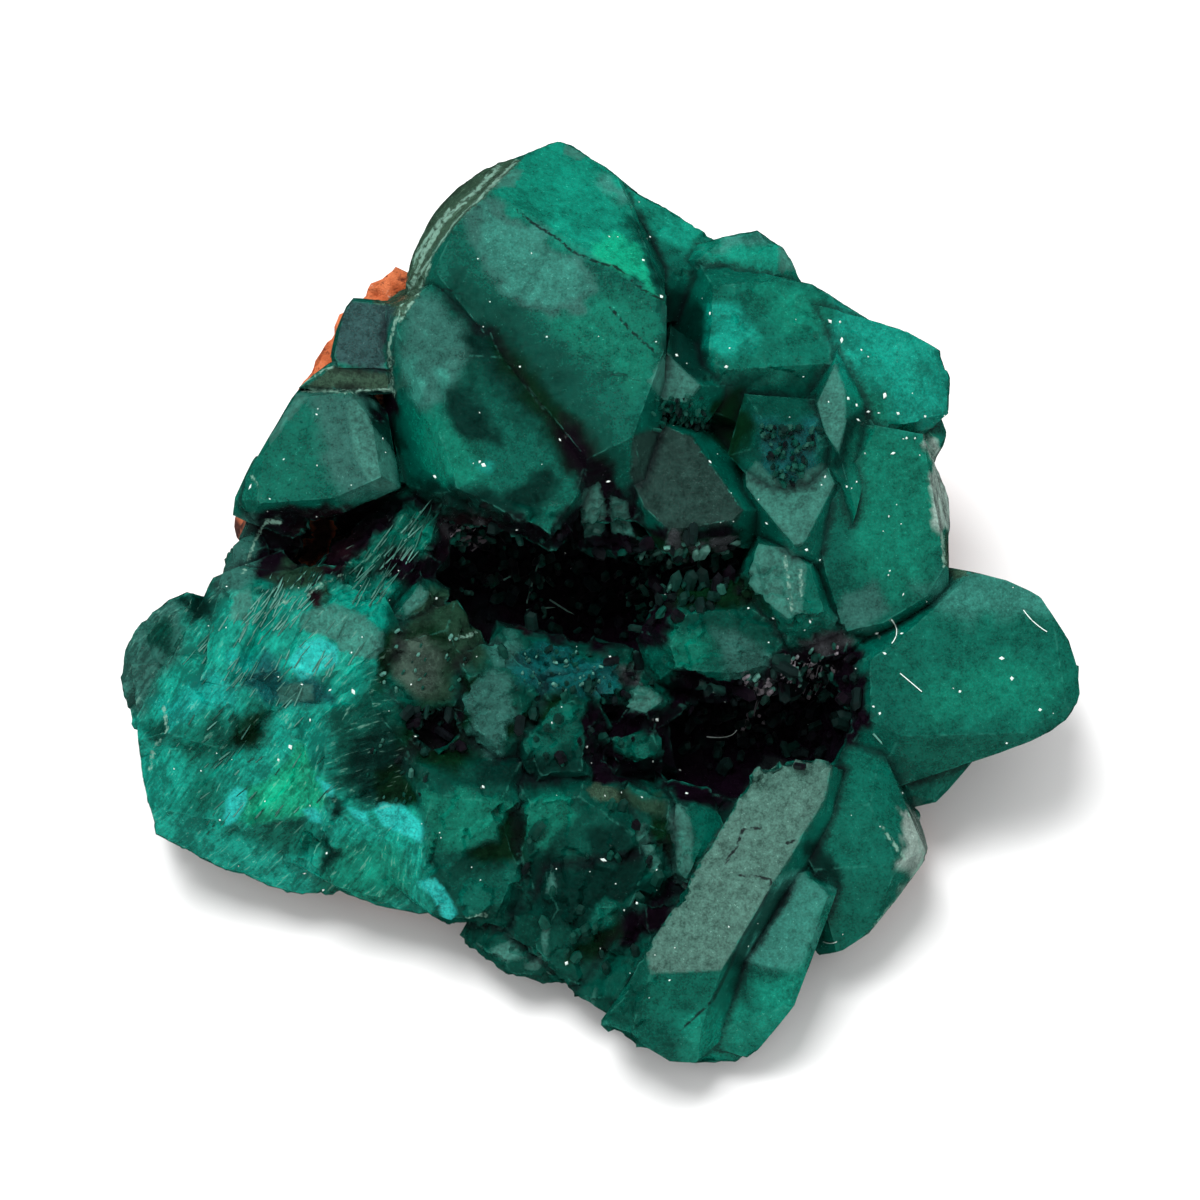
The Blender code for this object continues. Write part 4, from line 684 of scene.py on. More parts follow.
def segment_distances(points: np.ndarray, starts: np.ndarray, ends: np.ndarray) -> np.ndarray:
    """The distance from each point to the nearest of some segments, in the plane.

    Args:
        points: Rows of two coordinates.
        starts: The first end of each segment.
        ends: The other end of each segment.

    Returns:
        One distance for each point.
    """
    best = np.full(len(points), np.inf)
    for start, end in zip(starts, ends, strict=True):
        along = end - start
        share = np.clip((points - start) @ along / max(along @ along, TINY), 0, 1)
        away = points - start - share[:, None] * along
        best = np.minimum(best, (away**2).sum(axis=1))
    return np.sqrt(best)


def inside(points: np.ndarray, starts: np.ndarray, ends: np.ndarray) -> np.ndarray:
    """Whether each point lies inside closed loops of segments, in the plane."""
    odd = np.zeros(len(points), bool)
    x, y = points[:, 0], points[:, 1]
    for (x0, y0), (x1, y1) in zip(starts, ends, strict=True):
        if y0 == y1:
            continue
        crosses = (y0 > y) != (y1 > y)
        odd ^= crosses & (x < x0 + (y - y0) / (y1 - y0) * (x1 - x0))
    return odd


def outline_distance(points: np.ndarray, outline: Outline, closed: bool = True) -> np.ndarray:
    """The distance from each point to an outline, less than zero inside it."""
    spots = np.array(outline, float)
    starts, ends = (spots, np.roll(spots, -1, axis=0)) if closed else (spots[:-1], spots[1:])
    distance = segment_distances(points, starts, ends)
    return np.where(inside(points, starts, ends), -distance, distance) if closed else distance


def holds(outline: Outline, spot: Spot) -> bool:
    """Whether an outline has a spot in it."""
    return outline_distance(np.array([spot]), outline)[0] <= 0


def random_spot(outline: Outline, chance: random.Random) -> Spot:
    """A random spot in the box round an outline."""
    spots = np.array(outline)
    low, high = spots.min(axis=0), spots.max(axis=0)
    return chance.uniform(low[0], high[0]), chance.uniform(low[1], high[1])


@dataclass
class Skin:
    """A fine closed surface in the front frame.

    Attributes:
        points: Corner positions in millimetres.
        faces: Rows of three corner numbers.
        facet: The flat facet that each face belongs to.
        edge: How far each corner is from a sharp outer edge.
        crevice: How far each corner is from a sharp inner edge.
        facet_normals: The outward direction of each facet.
    """

    points: np.ndarray
    faces: np.ndarray
    facet: np.ndarray
    edge: np.ndarray
    crevice: np.ndarray
    facet_normals: np.ndarray

    def normals(self) -> np.ndarray:
        """The outward direction at each corner."""
        a, b, c = (self.points[self.faces[:, column]] for column in range(3))
        across = np.cross(b - a, c - a)
        total = np.zeros_like(self.points)
        for column in range(3):
            np.add.at(total, self.faces[:, column], across)
        return total / np.maximum(np.linalg.norm(total, axis=1), TINY)[:, None]


@dataclass
class FacetMesher:
    """Turns a coarse closed solid into a fine skin that keeps its flat facets and sharp edges.

    Attributes:
        source: The solid, in metres.
        fine: The size of a face where the front shows it, in millimetres.
        coarse: The size of a face elsewhere.
        flatness: How far two faces of one facet may turn from each other, in degrees.
        plane_gap: How far the corners of one facet may lie from its plane.
        facing: How far a facet has to face the camera to be meshed finely, from -1 to 1.
        sharp_turn: The least turn between two facets with a sharp edge, in degrees.
        far: The distance that stands for no sharp edge near by.
        points: The corners made so far.
        edge: How far each of them is from a sharp outer edge.
        crevice: How far each of them is from a sharp inner edge.
        owner: The facet of each coarse face.
        ways: The outward direction of each facet.
        runs: The corner numbers along each edge between two facets.
    """

    source: bpy.types.Object
    fine: float
    coarse: float
    flatness: float = 1.5
    plane_gap: float = 0.015
    facing: float = 0.02
    sharp_turn: float = 18.0
    far: float = 9.0
    points: list[np.ndarray] = field(default_factory=list)
    edge: list[float] = field(default_factory=list)
    crevice: list[float] = field(default_factory=list)
    owner: dict[bmesh.types.BMFace, int] = field(default_factory=dict)
    ways: list[Vector] = field(default_factory=list)
    runs: dict[bmesh.types.BMEdge, list[int]] = field(default_factory=dict)

    def build(self) -> Skin:
        """Mesh every facet and join them."""
        form = bmesh.new()
        form.from_mesh(self.source.data)
        bmesh.ops.remove_doubles(form, verts=form.verts, dist=1e-7)
        bmesh.ops.transform(form, matrix=FrontFrame.from_world(), verts=form.verts)
        form.normal_update()
        form.faces.ensure_lookup_table()
        facets = self.group(form)
        self.owner = {face: number for number, facet in enumerate(facets) for face in facet}
        self.ways = [sum((face.normal * face.calc_area() for face in facet), Vector()).normalized()
                     for facet in facets]
        for vert in form.verts:
            self.add(np.array(vert.co))
        for edge in form.edges:
            self.split_edge(edge)
        faces, numbers = [], []
        for number, facet in enumerate(facets):
            made = self.mesh_facet(facet, number)
            faces += made
            numbers += [number] * len(made)
        form.free()
        return Skin(np.array(self.points), np.array(faces), np.array(numbers), np.array(self.edge),
                    np.array(self.crevice), np.array([way[:] for way in self.ways]))

    def group(self, form: bmesh.types.BMesh) -> list[Facet]:
        """The faces of each flat facet."""
        least = math.cos(math.radians(self.flatness))
        left = set(form.faces)
        facets = []
        for seed in sorted(form.faces, key=lambda face: -face.calc_area()):
            if seed not in left:
                continue
            left.discard(seed)
            facet, todo = [seed], [seed]
            while todo:
                for face in (face for edge in todo.pop().edges for face in edge.link_faces):
                    if face in left and face.normal.dot(seed.normal) > least and self.in_plane(face, seed):
                        left.discard(face)
                        facet.append(face)
                        todo.append(face)
            facets.append(facet)
        return facets

    def in_plane(self, face: bmesh.types.BMFace, seed: bmesh.types.BMFace) -> bool:
        """Whether a face lies in the plane of another."""
        spot = seed.verts[0].co
        return all(abs((vert.co - spot).dot(seed.normal)) < self.plane_gap for vert in face.verts)

    def add(self, spot: np.ndarray) -> int:
        """Add a corner with no sharp edge near by, and give its number."""
        self.points.append(spot)
        self.edge.append(self.far)
        self.crevice.append(self.far)
        return len(self.points) - 1

    def face_size(self, number: int) -> float:
        """The size of a fine face on a facet."""
        return self.fine if self.ways[number].z > self.facing else self.coarse

    def split_edge(self, edge: bmesh.types.BMEdge) -> None:
        """Put corners along an edge, if it lies between two facets."""
        sides = [self.owner[face] for face in edge.link_faces]
        if len(set(sides)) < 2:
            return
        start, end = edge.verts
        steps = max(1, math.ceil(edge.calc_length() / min(map(self.face_size, sides))))
        between = [self.add(np.array(start.co.lerp(end.co, step / steps))) for step in range(1, steps)]
        self.runs[edge] = [start.index, *between, end.index]
        if self.ways[sides[0]].angle(self.ways[sides[1]]) > math.radians(self.sharp_turn):
            kept = self.edge if edge.is_convex else self.crevice
            for corner in self.runs[edge]:
                kept[corner] = 0.0

    def mesh_facet(self, facet: Facet, number: int) -> list[tuple[int, int, int]]:
        """The fine faces of one facet.

        Args:
            facet: Its coarse faces.
            number: Its number.

        Returns:
            Rows of three corner numbers, anticlockwise from outside.
        """
        way = self.ways[number]
        across = way.orthogonal().normalized()
        basis = np.array([across[:], way.cross(across)[:]])
        segments, sharp, inward = self.rim_segments(facet, number)
        rim = sorted({corner for pair in segments for corner in pair})
        place = {corner: index for index, corner in enumerate(rim)}
        flat = np.array([basis @ self.points[corner] for corner in rim])
        pairs = np.array([(place[a], place[b]) for a, b in segments])
        starts, ends = flat[pairs[:, 0]], flat[pairs[:, 1]]
        inner = self.inner_points(flat, starts, ends, self.face_size(number))
        height = float(np.mean([np.array(way) @ self.points[corner] for corner in rim]))
        every = np.vstack([flat, inner]) if len(inner) else flat
        verts, _, tris, came_from, _, _ = delaunay_2d_cdt(
            [Vector(spot) for spot in every], pairs.tolist(), [], 1, 1e-6)
        numbers = []
        for vert, origins in zip(verts, came_from, strict=True):
            known = [rim[origin] for origin in origins if origin < len(rim)]
            numbers.append(known[0] if known else self.add(np.array(vert) @ basis + np.array(way) * height))
        spots = np.array([vert[:] for vert in verts])
        for flags, kept in ((sharp, self.edge), (inward, self.crevice)):
            if not any(flags):
                continue
            distances = segment_distances(spots, starts[flags], ends[flags])
            for corner, distance in zip(numbers, distances, strict=True):
                kept[corner] = min(kept[corner], float(distance))
        corners = np.array([tri[:3] for tri in tris if len(tri) >= 3])
        if not len(corners):
            return []
        inner_faces = corners[inside(spots[corners].mean(axis=1), starts, ends)]
        return [tuple(numbers[corner] for corner in tri) for tri in inner_faces]

    def rim_segments(self, facet: Facet, number: int) -> tuple[list[tuple[int, int]], list[bool], list[bool]]:
        """The short segments that a facet's rim is split into.

        Args:
            facet: Its coarse faces.
            number: Its number.

        Returns:
            Each segment's corner numbers, and whether it is on a sharp outer edge or a sharp inner one.
        """
        segments, sharp, inward = [], [], []
        for edge in (edge for face in facet for edge in face.edges):
            if edge not in self.runs or all(self.owner[face] == number for face in edge.link_faces):
                continue
            run = self.runs[edge]
            segments += list(itertools.pairwise(run))
            telling = run if len(run) == 2 else [run[len(run) // 2]]
            sharp += [all(self.edge[corner] == 0.0 for corner in telling)] * (len(run) - 1)
            inward += [all(self.crevice[corner] == 0.0 for corner in telling)] * (len(run) - 1)
        return segments, sharp, inward

    @staticmethod
    def inner_points(flat: np.ndarray, starts: np.ndarray, ends: np.ndarray, size: float) -> np.ndarray:
        """Evenly spread points inside a facet, in its plane and clear of its rim."""
        low, high = flat.min(axis=0), flat.max(axis=0)
        rows = np.arange(low[1], high[1], size * 0.87)
        columns = np.arange(low[0], high[0], size)
        if not len(rows) or not len(columns):
            return np.zeros((0, 2))
        x, y = np.meshgrid(columns, rows)
        x = x + (np.arange(len(rows)) % 2)[:, None] * size * 0.5
        spread = np.stack([x.ravel(), y.ravel()], axis=1)
        stirred = Noise(5).scatter(np.floor(np.hstack([spread * 97, spread[:, :1] * 13])))
        spread = spread + (stirred[:, :2] - 0.5) * size * 0.3
        spread = spread[inside(spread, starts, ends)]
        if not len(spread):
            return spread
        return spread[segment_distances(spread, starts, ends) > size * 0.5]


class Marks:
    """The washes, patches and lines of the face, measured at every corner of a skin.

    Attributes:
        reach: How far from an outline the distance to it is worked out, in millimetres.
        wander: How far the edges of the washes wander.
        wander_size: How many times they wander to the millimetre.
        turn_limit: How far a surface has to face the camera to keep its patches and lines, from -1 to 1.
        turn_reach: How fast they shrink where it faces away more.
        wash_limits: From which facing to which the washes come in.
    """

    reach = 3.0
    wander = 0.24
    wander_size = 1.7
    turn_limit = 0.25
    turn_reach = 1.2
    wash_limits = (-0.15, 0.15)

    def __init__(self, skin: Skin) -> None:
        """Measure the skin where the camera sees it."""
        self.spots = FrontFrame.seen(skin.points)
        warp = Noise(41)
        self.ragged = self.spots + self.wander * np.stack([
            warp.layered(skin.points * self.wander_size, 4),
            warp.layered(skin.points * self.wander_size + 40.0, 4)], axis=1)
        facing = skin.normals()[:, 2]
        self.turned_away = np.clip(self.turn_limit - facing, 0, 1) * self.turn_reach
        low, high = self.wash_limits
        self.front = np.clip((facing - low) / (high - low), 0, 1)

    def washes(self) -> tuple[np.ndarray, np.ndarray]:
        """The colour under the surface and how far it dips, for each corner."""
        colour = np.tile(np.array(Tint.EMERALD.value), (len(self.spots), 1))
        sink = np.zeros(len(self.spots))
        for wash in WASHES:
            distance = self.near_outline(self.ragged, wash.outline, True)
            share = np.clip(0.5 - distance / wash.soft, 0, 1) * self.front
            share = share * share * (3 - 2 * share)
            colour += share[:, None] * (np.array(wash.tint.value) - colour)
            sink += share * (wash.sink - sink)
        return colour, sink

    def patches(self, look: Look) -> np.ndarray:
        """How far each corner is from the nearest patch of a look, less than zero inside one."""
        return self.nearest(PATCHES[look], True)

    def strokes(self, stroke: Stroke) -> np.ndarray:
        """How far each corner is from the nearest line of a kind."""
        return self.nearest(LINES[stroke], False)

    def nearest(self, outlines: list[Outline], closed: bool) -> np.ndarray:
        """The distance from each corner to the nearest of some outlines, more where it is turned away."""
        apart = [self.near_outline(self.spots, outline, closed) for outline in outlines]
        return np.minimum(np.min(apart, axis=0), self.reach) + self.turned_away

    def near_outline(self, points: np.ndarray, outline: Outline, closed: bool) -> np.ndarray:
        """The distance to one outline, worked out only where it is near."""
        spots = np.array(outline)
        low, high = spots.min(axis=0) - self.reach, spots.max(axis=0) + self.reach
        near = ((points > low) & (points < high)).all(axis=1)
        found = np.full(len(points), self.reach)
        found[near] = outline_distance(points[near], outline, closed)
        return found


class Relief:
    """Breaks the flat facets of a skin into flakes, steps and chips.

    Attributes:
        swell: How far every facet swells and dips, in millimetres.
        step_height: The height of a low growth step.
        step_levels: The levels of a slow noise above and below which the steps lie.
        step_edge: How far the noise goes from the foot of a step to its top.
        wear: How far every sharp edge is rubbed down.
        chip_depth: The depth of a chip.
        chip_reach: How far from its edge a chip reaches.
        behind: How the sides turned from the camera are broken.
        behind_limit: How far a side has to be turned from the camera for that, from -1 to 1.
        floor_gap: The height above the floor up to which nothing moves.
        pocket: Where the narrow pocket beside the vug lies.
        pocket_reach: How far the pocket is filled round that spot.
        pocket_rim: The level that it is filled up towards.
        pocket_depth: The depth below that level that counts.
        pocket_fill: The share of that depth that is filled.
    """

    swell = 0.004
    step_height = 0.006
    step_levels = (-0.45, 0.30)
    step_edge = 0.03
    wear = 0.012
    chip_depth = 0.16
    chip_reach = 0.3
    behind = Zone([], Break.CHIPPED, 0.2, 30, 1.6, 1.1)
    behind_limit = 0.05
    floor_gap = 0.62
    pocket = (-4.85, -3.85)
    pocket_reach = 1.15
    pocket_rim = -1.45
    pocket_depth = 4.0
    pocket_fill = 0.85

    def __init__(self, skin: Skin, zones: Iterable[Zone], sink: np.ndarray) -> None:
        """Keep the skin that is worked on, the zones of its face and how far it dips."""
        self.skin = skin
        self.zones = list(zones)
        self.sink = sink
        self.tone = np.zeros(len(skin.points))
        self.fibre = np.zeros(len(skin.points))

    def apply(self) -> None:
        """Move the corners of the skin along their outward directions."""
        points, normals = self.skin.points, self.skin.normals()
        spots = FrontFrame.seen(points)
        self.shallow_pocket(points, spots)
        move = self.swell * Noise(3).layered(points * 0.8, 3) - self.sink
        move -= self.steps(points)
        move -= self.chips(points)
        self.tone = Noise(8).smooth(points * 0.4) * 0.3
        for number, zone in enumerate(self.zones):
            distance = outline_distance(spots, zone.outline)
            weight = np.clip(0.5 - distance / zone.fade, 0, 1)
            hit = weight > 0
            if not hit.any():
                continue
            height, tone = self.broken(points[hit], zone, number)
            move[hit] += height * weight[hit] * zone.relief
            if zone.kind in (Break.SPLINTERED, Break.STRIATED):
                self.fibre[hit] = np.maximum(self.fibre[hit], weight[hit])
            self.tone[hit] = self.tone[hit] * (1 - weight[hit]) + (tone * 2 - 1) * weight[hit]
        away = np.minimum(np.clip(self.behind_limit - normals[:, 2], 0, 1) * 2, 1)
        hidden = away > 0
        move[hidden] += self.broken(points[hidden], self.behind, 91)[0] * away[hidden] * self.behind.relief
        heights = FrontFrame.to_world(points)[:, 2] / MM
        move *= np.clip((heights - self.floor_gap) / 0.4, 0, 1)
        self.skin.points = points + normals * move[:, None]

    def shallow_pocket(self, points: np.ndarray, spots: np.ndarray) -> None:
        """Fill most of the narrow pocket beside the vug, which the photo shows as a shallow dark hollow."""
        away = np.linalg.norm(spots - np.array(self.pocket), axis=1)
        share = np.clip((self.pocket_reach - away) / 0.3, 0, 1) * self.pocket_fill
        points[:, 2] += share * np.clip(self.pocket_rim - points[:, 2], 0, self.pocket_depth)

    def steps(self, points: np.ndarray) -> np.ndarray:
        """Low growth steps on the smooth facets."""
        level = Noise(21).layered(points * 0.33, 2)
        low, high = (np.clip((level - edge) / self.step_edge, 0, 1) for edge in self.step_levels)
        return self.step_height * (high + low)

    def chips(self, points: np.ndarray) -> np.ndarray:
        """Small chips along the sharp edges."""
        near = np.clip(1 - self.skin.edge / self.chip_reach, 0, 1)
        chipped = np.clip(Noise(33).layered(points * 1.5, 2) - 0.25, 0, 1)
        return near * (self.wear + self.chip_depth * chipped)

    @staticmethod
    def broken(points: np.ndarray, zone: Zone, seed: int) -> tuple[np.ndarray, np.ndarray]:
        """The relief of one zone.

        Args:
            points: The corners in the zone.
            zone: The zone.
            seed: A number that tells its noise from the others'.

        Returns:
            The height of each corner, about -1 to 1, and the tone of its flake, 0 to 1.
        """
        turn = math.radians(zone.grain)
        along = points[:, 0] * math.cos(turn) + points[:, 1] * math.sin(turn)
        across = -points[:, 0] * math.sin(turn) + points[:, 1] * math.cos(turn)
        laid = np.stack([along / zone.length, across / zone.width, points[:, 2] / zone.width], axis=1)
        if zone.kind is Break.STRIATED:
            lines = Noise(50 + seed).layered(laid * [0.5, 1.4, 0.2], 3)
            return lines, np.clip(0.5 + lines * 0.4, 0, 1)
        warp = Noise(70 + seed).smooth(laid * 0.7)[:, None] * 0.35
        big, tone = Noise(90 + seed).flakes(laid + warp)
        small, small_tone = Noise(130 + seed).flakes(laid * 2.6)
        height = big + small * 0.2
        if zone.kind is Break.SPLINTERED:
            height += 0.16 * Noise(170 + seed).layered(laid * [0.8, 6.0, 1.5], 2)
        if zone.kind is Break.DRUSY:
            height += 0.3 * Noise(190 + seed).flakes(laid * 1.7)[0]
        return height, tone * 0.65 + small_tone * 0.35


class Graph:
    """A node graph of one material, built by short calls.

    Attributes:
        mix_inputs: The numbers of a colour mix's factor, first colour and second colour.
        mix_output: The number of its colour output.
    """

    mix_inputs = (0, 6, 7)
    mix_output = 2

    def __init__(self, name: str) -> None:
        """Start a material with only its output."""
        self.material = bpy.data.materials.new(name)
        self.material.use_nodes = True
        self.tree = self.material.node_tree
        self.tree.nodes.clear()
        self.output = self.tree.nodes.new("ShaderNodeOutputMaterial")

    def put(self, value: object, socket: Socket) -> None:
        """Link a socket to another, or set its value."""
        if isinstance(value, bpy.types.NodeSocket):
            self.tree.links.new(value, socket)
        else:
            socket.default_value = (*value, 1.0) if socket.type == "RGBA" else value

    def node(self, kind: str, inputs: dict | None = None, **settings: object) -> bpy.types.Node:
        """Add a node.

        Args:
            kind: The node's type.
            inputs: Values or sockets by the input's name or number.
            **settings: Properties of the node.

        Returns:
            The new node.
        """
        made = self.tree.nodes.new(kind)
        for key, value in settings.items():
            setattr(made, key, value)
        for key, value in (inputs or {}).items():
            self.put(value, made.inputs[key])
        return made

    def math(self, operation: str, first: object, second: object) -> Socket:
        """The result of a sum of two numbers."""
        return self.node("ShaderNodeMath", {0: first, 1: second}, operation=operation).outputs[0]

    def times(self, first: object, second: object) -> Socket:
        """The product of two numbers."""
        return self.math("MULTIPLY", first, second)

    def total(self, *values: object) -> Socket:
        """The sum of several numbers."""
        first, *others = values
        for value in others:
            first = self.math("ADD", first, value)
        return first

    def swing(self, value: Socket, amount: float) -> Socket:
        """A value that runs from 0 to 1, moved to swing about zero."""
        return self.times(self.math("SUBTRACT", value, 0.5), amount)

    def scaled(self, colour: object, share: object) -> Socket:
        """A colour made lighter or darker."""
        return self.node("ShaderNodeVectorMath", {0: colour, "Scale": share}, operation="SCALE").outputs[0]

    def mix(self, factor: object, first: object, second: object) -> Socket:
        """A blend of two colours."""
        made = self.node("ShaderNodeMix", data_type="RGBA")
        for value, number in zip((factor, first, second), self.mix_inputs, strict=True):
            self.put(value, made.inputs[number])
        return made.outputs[self.mix_output]

    def band(self, value: object, low: float, high: float) -> Socket:
        """A smooth step from 0 at low to 1 at high."""
        inputs = {0: value, 1: low, 2: high}
        return self.node("ShaderNodeMapRange", inputs, interpolation_type="SMOOTHSTEP").outputs[0]

    def attribute(self, name: str, output: str = "Fac") -> Socket:
        """A value kept on the mesh."""
        return self.node("ShaderNodeAttribute", attribute_name=name).outputs[output]

    def noise(self, vector: Socket, scale: float, detail: float = 3.0, rough: float = 0.55,
              skew: float = 0.0) -> Socket:
        """Layered noise from 0 to 1."""
        inputs = {"Vector": vector, "Scale": scale, "Detail": detail, "Roughness": rough, "Distortion": skew}
        return self.node("ShaderNodeTexNoise", inputs).outputs[0]

    def stretch(self, vector: Socket, scale: tuple[float, float, float]) -> Socket:
        """A position scaled on each axis."""
        return self.node("ShaderNodeVectorMath", {0: vector, 1: scale}, operation="MULTIPLY").outputs[0]

    def millimetres(self) -> Socket:
        """The position on the piece, in millimetres."""
        return self.stretch(self.node("ShaderNodeTexCoord").outputs["Object"], (1 / MM, 1 / MM, 1 / MM))

    def bump(self, height: Socket, strength: float, distance: float) -> Socket:
        """A surface direction changed by a height in metres."""
        inputs = {"Strength": strength, "Distance": distance, "Height": height}
        return self.node("ShaderNodeBump", inputs).outputs[0]

    def surface(self, **inputs: object) -> None:
        """Give the material its surface. An input's name has _ for each space."""
        named = {name.replace("_", " "): value for name, value in inputs.items()}
        shader = self.node("ShaderNodeBsdfPrincipled", named)
        self.put(shader.outputs[0], self.output.inputs["Surface"])


@dataclass(frozen=True)
class Paint:
    """How a look covers the crystals.

    Attributes:
        colour: Its colour.
        share: How much it hides of what lies under it.
        soft: Half the width of its edge, in millimetres.
    """

    colour: Colour
    share: float
    soft: float


class CrystalNoise:
    """The noises that the crystals' finish is made of.

    Attributes:
        broad: The slowest changes.
        ragged: The blotches that also give the patches their ragged edges.
        fine: A finer mottle.
        dusty: The finest mottle.
        grain: Striations along each facet.
        sheaf: Broader sheaves of fibres along it.
        fibre: Where the surface is fibrous, from 0 to 1.
    """

    def __init__(self, graph: Graph) -> None:
        """Add every noise to the graph."""
        place = graph.millimetres()
        flow = graph.attribute("flow", "Vector")
        self.broad = graph.noise(place, 0.7, 5.0, 0.6, 0.6)
        self.ragged = graph.noise(place, 2.6, 5.0, 0.65, 0.4)
        self.fine = graph.noise(place, 6.5, 4.0, 0.7)
        self.dusty = graph.noise(place, 16.0, 2.0, 0.6)
        self.grain = graph.noise(graph.stretch(flow, (8.0, 1.7, 0.5)), 1.0, 4.0, 0.65, 0.3)
        self.sheaf = graph.noise(graph.stretch(flow, (2.6, 0.9, 0.5)), 1.0, 3.0, 0.6, 0.5)
        self.fibre = graph.attribute("fibre")


@dataclass(frozen=True)
class CrystalFinish:
    """Glassy green crystal with frost, flakes, striations and fine dust; the frost carries a painted sheen, and
    the finish also holds painted shade and painted highlights.

    Attributes:
        paints: How each look covers the crystals, from the lowest to the topmost.
        edge_highlight: The colour of the painted highlight on the sharp outer edges.
        pale: The colour of the pale streaks, several of them painted highlights along edges, and of the
            striations.
        roughness: The roughness of a clean facet.
        index: How strongly the crystal bends light.
        clearness: The share of light that goes through.
        soak: The colour of the light that comes through.
        density: How fast the rest is soaked up inside, per metre.
        bump_strength: How strongly the finest relief shows.
        bump_height: The height of the finest relief, in metres.
    """

    # The frost looks carry a painted sheen, and the bright green-blue flakes carry painted glints.
    paints: dict[Look, Paint] = field(default_factory=lambda: {
        Look.HAZE: Paint((0.034, 0.195, 0.152), 0.78, 0.07),
        Look.CHALKY: Paint((0.074, 0.176, 0.142), 0.9, 0.07),
        Look.OLIVE: Paint((0.046, 0.092, 0.056), 0.85, 0.07),
        Look.SLATE: Paint((0.026, 0.074, 0.074), 0.95, 0.06),
        Look.UMBER: Paint((0.016, 0.046, 0.038), 0.95, 0.06),
        Look.CYAN: Paint((0.012, 0.470, 0.420), 0.9, 0.08),
    })
    edge_highlight: Colour = (0.05, 0.36, 0.27)
    pale: Colour = (0.25, 0.48, 0.38)
    roughness: float = 0.24
    index: float = 1.67
    clearness: float = 0.25
    soak: Colour = (0.0, 0.80, 0.66)
    density: float = 700.0
    bump_strength: float = 0.30
    bump_height: float = 0.00006

    def material(self) -> bpy.types.Material:
        """Build the material."""
        graph = Graph("dioptase_crystal")
        noise = CrystalNoise(graph)
        wander = graph.total(graph.swing(noise.ragged, 0.25), graph.swing(noise.fine, 0.25))
        masks = {look: graph.band(graph.total(graph.attribute(look.value), wander), paint.soft, -paint.soft)
                 for look, paint in self.paints.items()}
        colour = self.inner_colour(graph, noise)
        mottle = graph.total(1.0, graph.swing(noise.ragged, 1.7), graph.swing(noise.fine, 1.7),
                             graph.swing(noise.dusty, 1.5))
        mottle = graph.math("MAXIMUM", mottle, 0.5)
        for look, paint in self.paints.items():
            mottled = graph.scaled(paint.colour, mottle)
            colour = graph.mix(graph.times(masks[look], paint.share), colour, mottled)
        colour = self.with_shade_and_edge_highlights(graph, noise, colour)
        colour = self.with_lines(graph, noise, colour)
        rough = graph.total(self.roughness, graph.times(masks[Look.HAZE], 0.2), graph.swing(noise.fine, 0.2))
        height = graph.total(graph.times(graph.times(noise.grain, noise.fibre), 0.8),
                             graph.times(noise.fine, 0.35), graph.times(noise.dusty, 0.2))
        graph.surface(Base_Color=colour, Roughness=rough, IOR=self.index, Transmission_Weight=self.clearness,
                      Normal=graph.bump(height, self.bump_strength, self.bump_height))
        soak = graph.node("ShaderNodeVolumeAbsorption", {"Color": self.soak, "Density": self.density})
        graph.put(soak.outputs[0], graph.output.inputs["Volume"])
        return graph.material

    @staticmethod
    def inner_colour(graph: Graph, noise: CrystalNoise) -> Socket:
        """The tint under the surface, mottled and with its fibres."""
        shade = graph.total(0.80, graph.swing(noise.broad, 1.0), graph.swing(noise.ragged, 1.1),
                            graph.swing(noise.fine, 1.0), graph.swing(noise.dusty, 1.0),
                            graph.times(graph.attribute("tone"), 0.26))
        strand = graph.total(graph.swing(noise.grain, 2.0), graph.swing(noise.sheaf, 1.6))
        shade = graph.math("MAXIMUM", graph.total(shade, graph.times(strand, noise.fibre)), 0.45)
        return graph.scaled(graph.attribute("tint", "Color"), shade)

    def with_shade_and_edge_highlights(self, graph: Graph, noise: CrystalNoise, colour: Socket) -> Socket:
        """The colour so far, with painted shade in the crevices and in the vug, and a painted highlight on the
        sharp outer edges.
        """
        # Painted shade: the crevices between facets darken towards near black, less so on fibrous ground.
        crevice = graph.total(graph.attribute("crevice"), graph.swing(noise.fine, 0.2),
                              graph.swing(noise.broad, 0.5))
        smooth = graph.math("SUBTRACT", 1.0, graph.times(noise.fibre, 0.8))
        dark = graph.times(graph.band(crevice, 0.30, -0.02), smooth)
        colour = graph.mix(graph.times(dark, 0.6), colour, Tint.BLACK.value)
        # Painted shade: deep in the vug and its side hollows the colour goes near black.
        colour = graph.mix(graph.times(graph.attribute("depth"), 0.9), colour, Tint.BLACK.value)
        # Painted highlight: pale lines along the sharp outer edges, broken up by noise.
        edge_highlight = graph.band(graph.attribute("edge"), 0.06, 0.012)
        edge_highlight = graph.times(edge_highlight, graph.band(noise.ragged, 0.46, 0.62))
        return graph.mix(graph.times(edge_highlight, 0.2), colour, self.edge_highlight)

    def with_lines(self, graph: Graph, noise: CrystalNoise, colour: Socket) -> Socket:
        """The colour so far, with its cracks, its pale streaks (partly painted highlights along edges) and its
        striations.
        """
        crack = graph.total(graph.attribute(Stroke.CRACK.value), graph.swing(noise.fine, 0.05))
        colour = graph.mix(graph.times(graph.band(crack, 0.07, 0.02), 0.85), colour, Tint.BLACK.value)
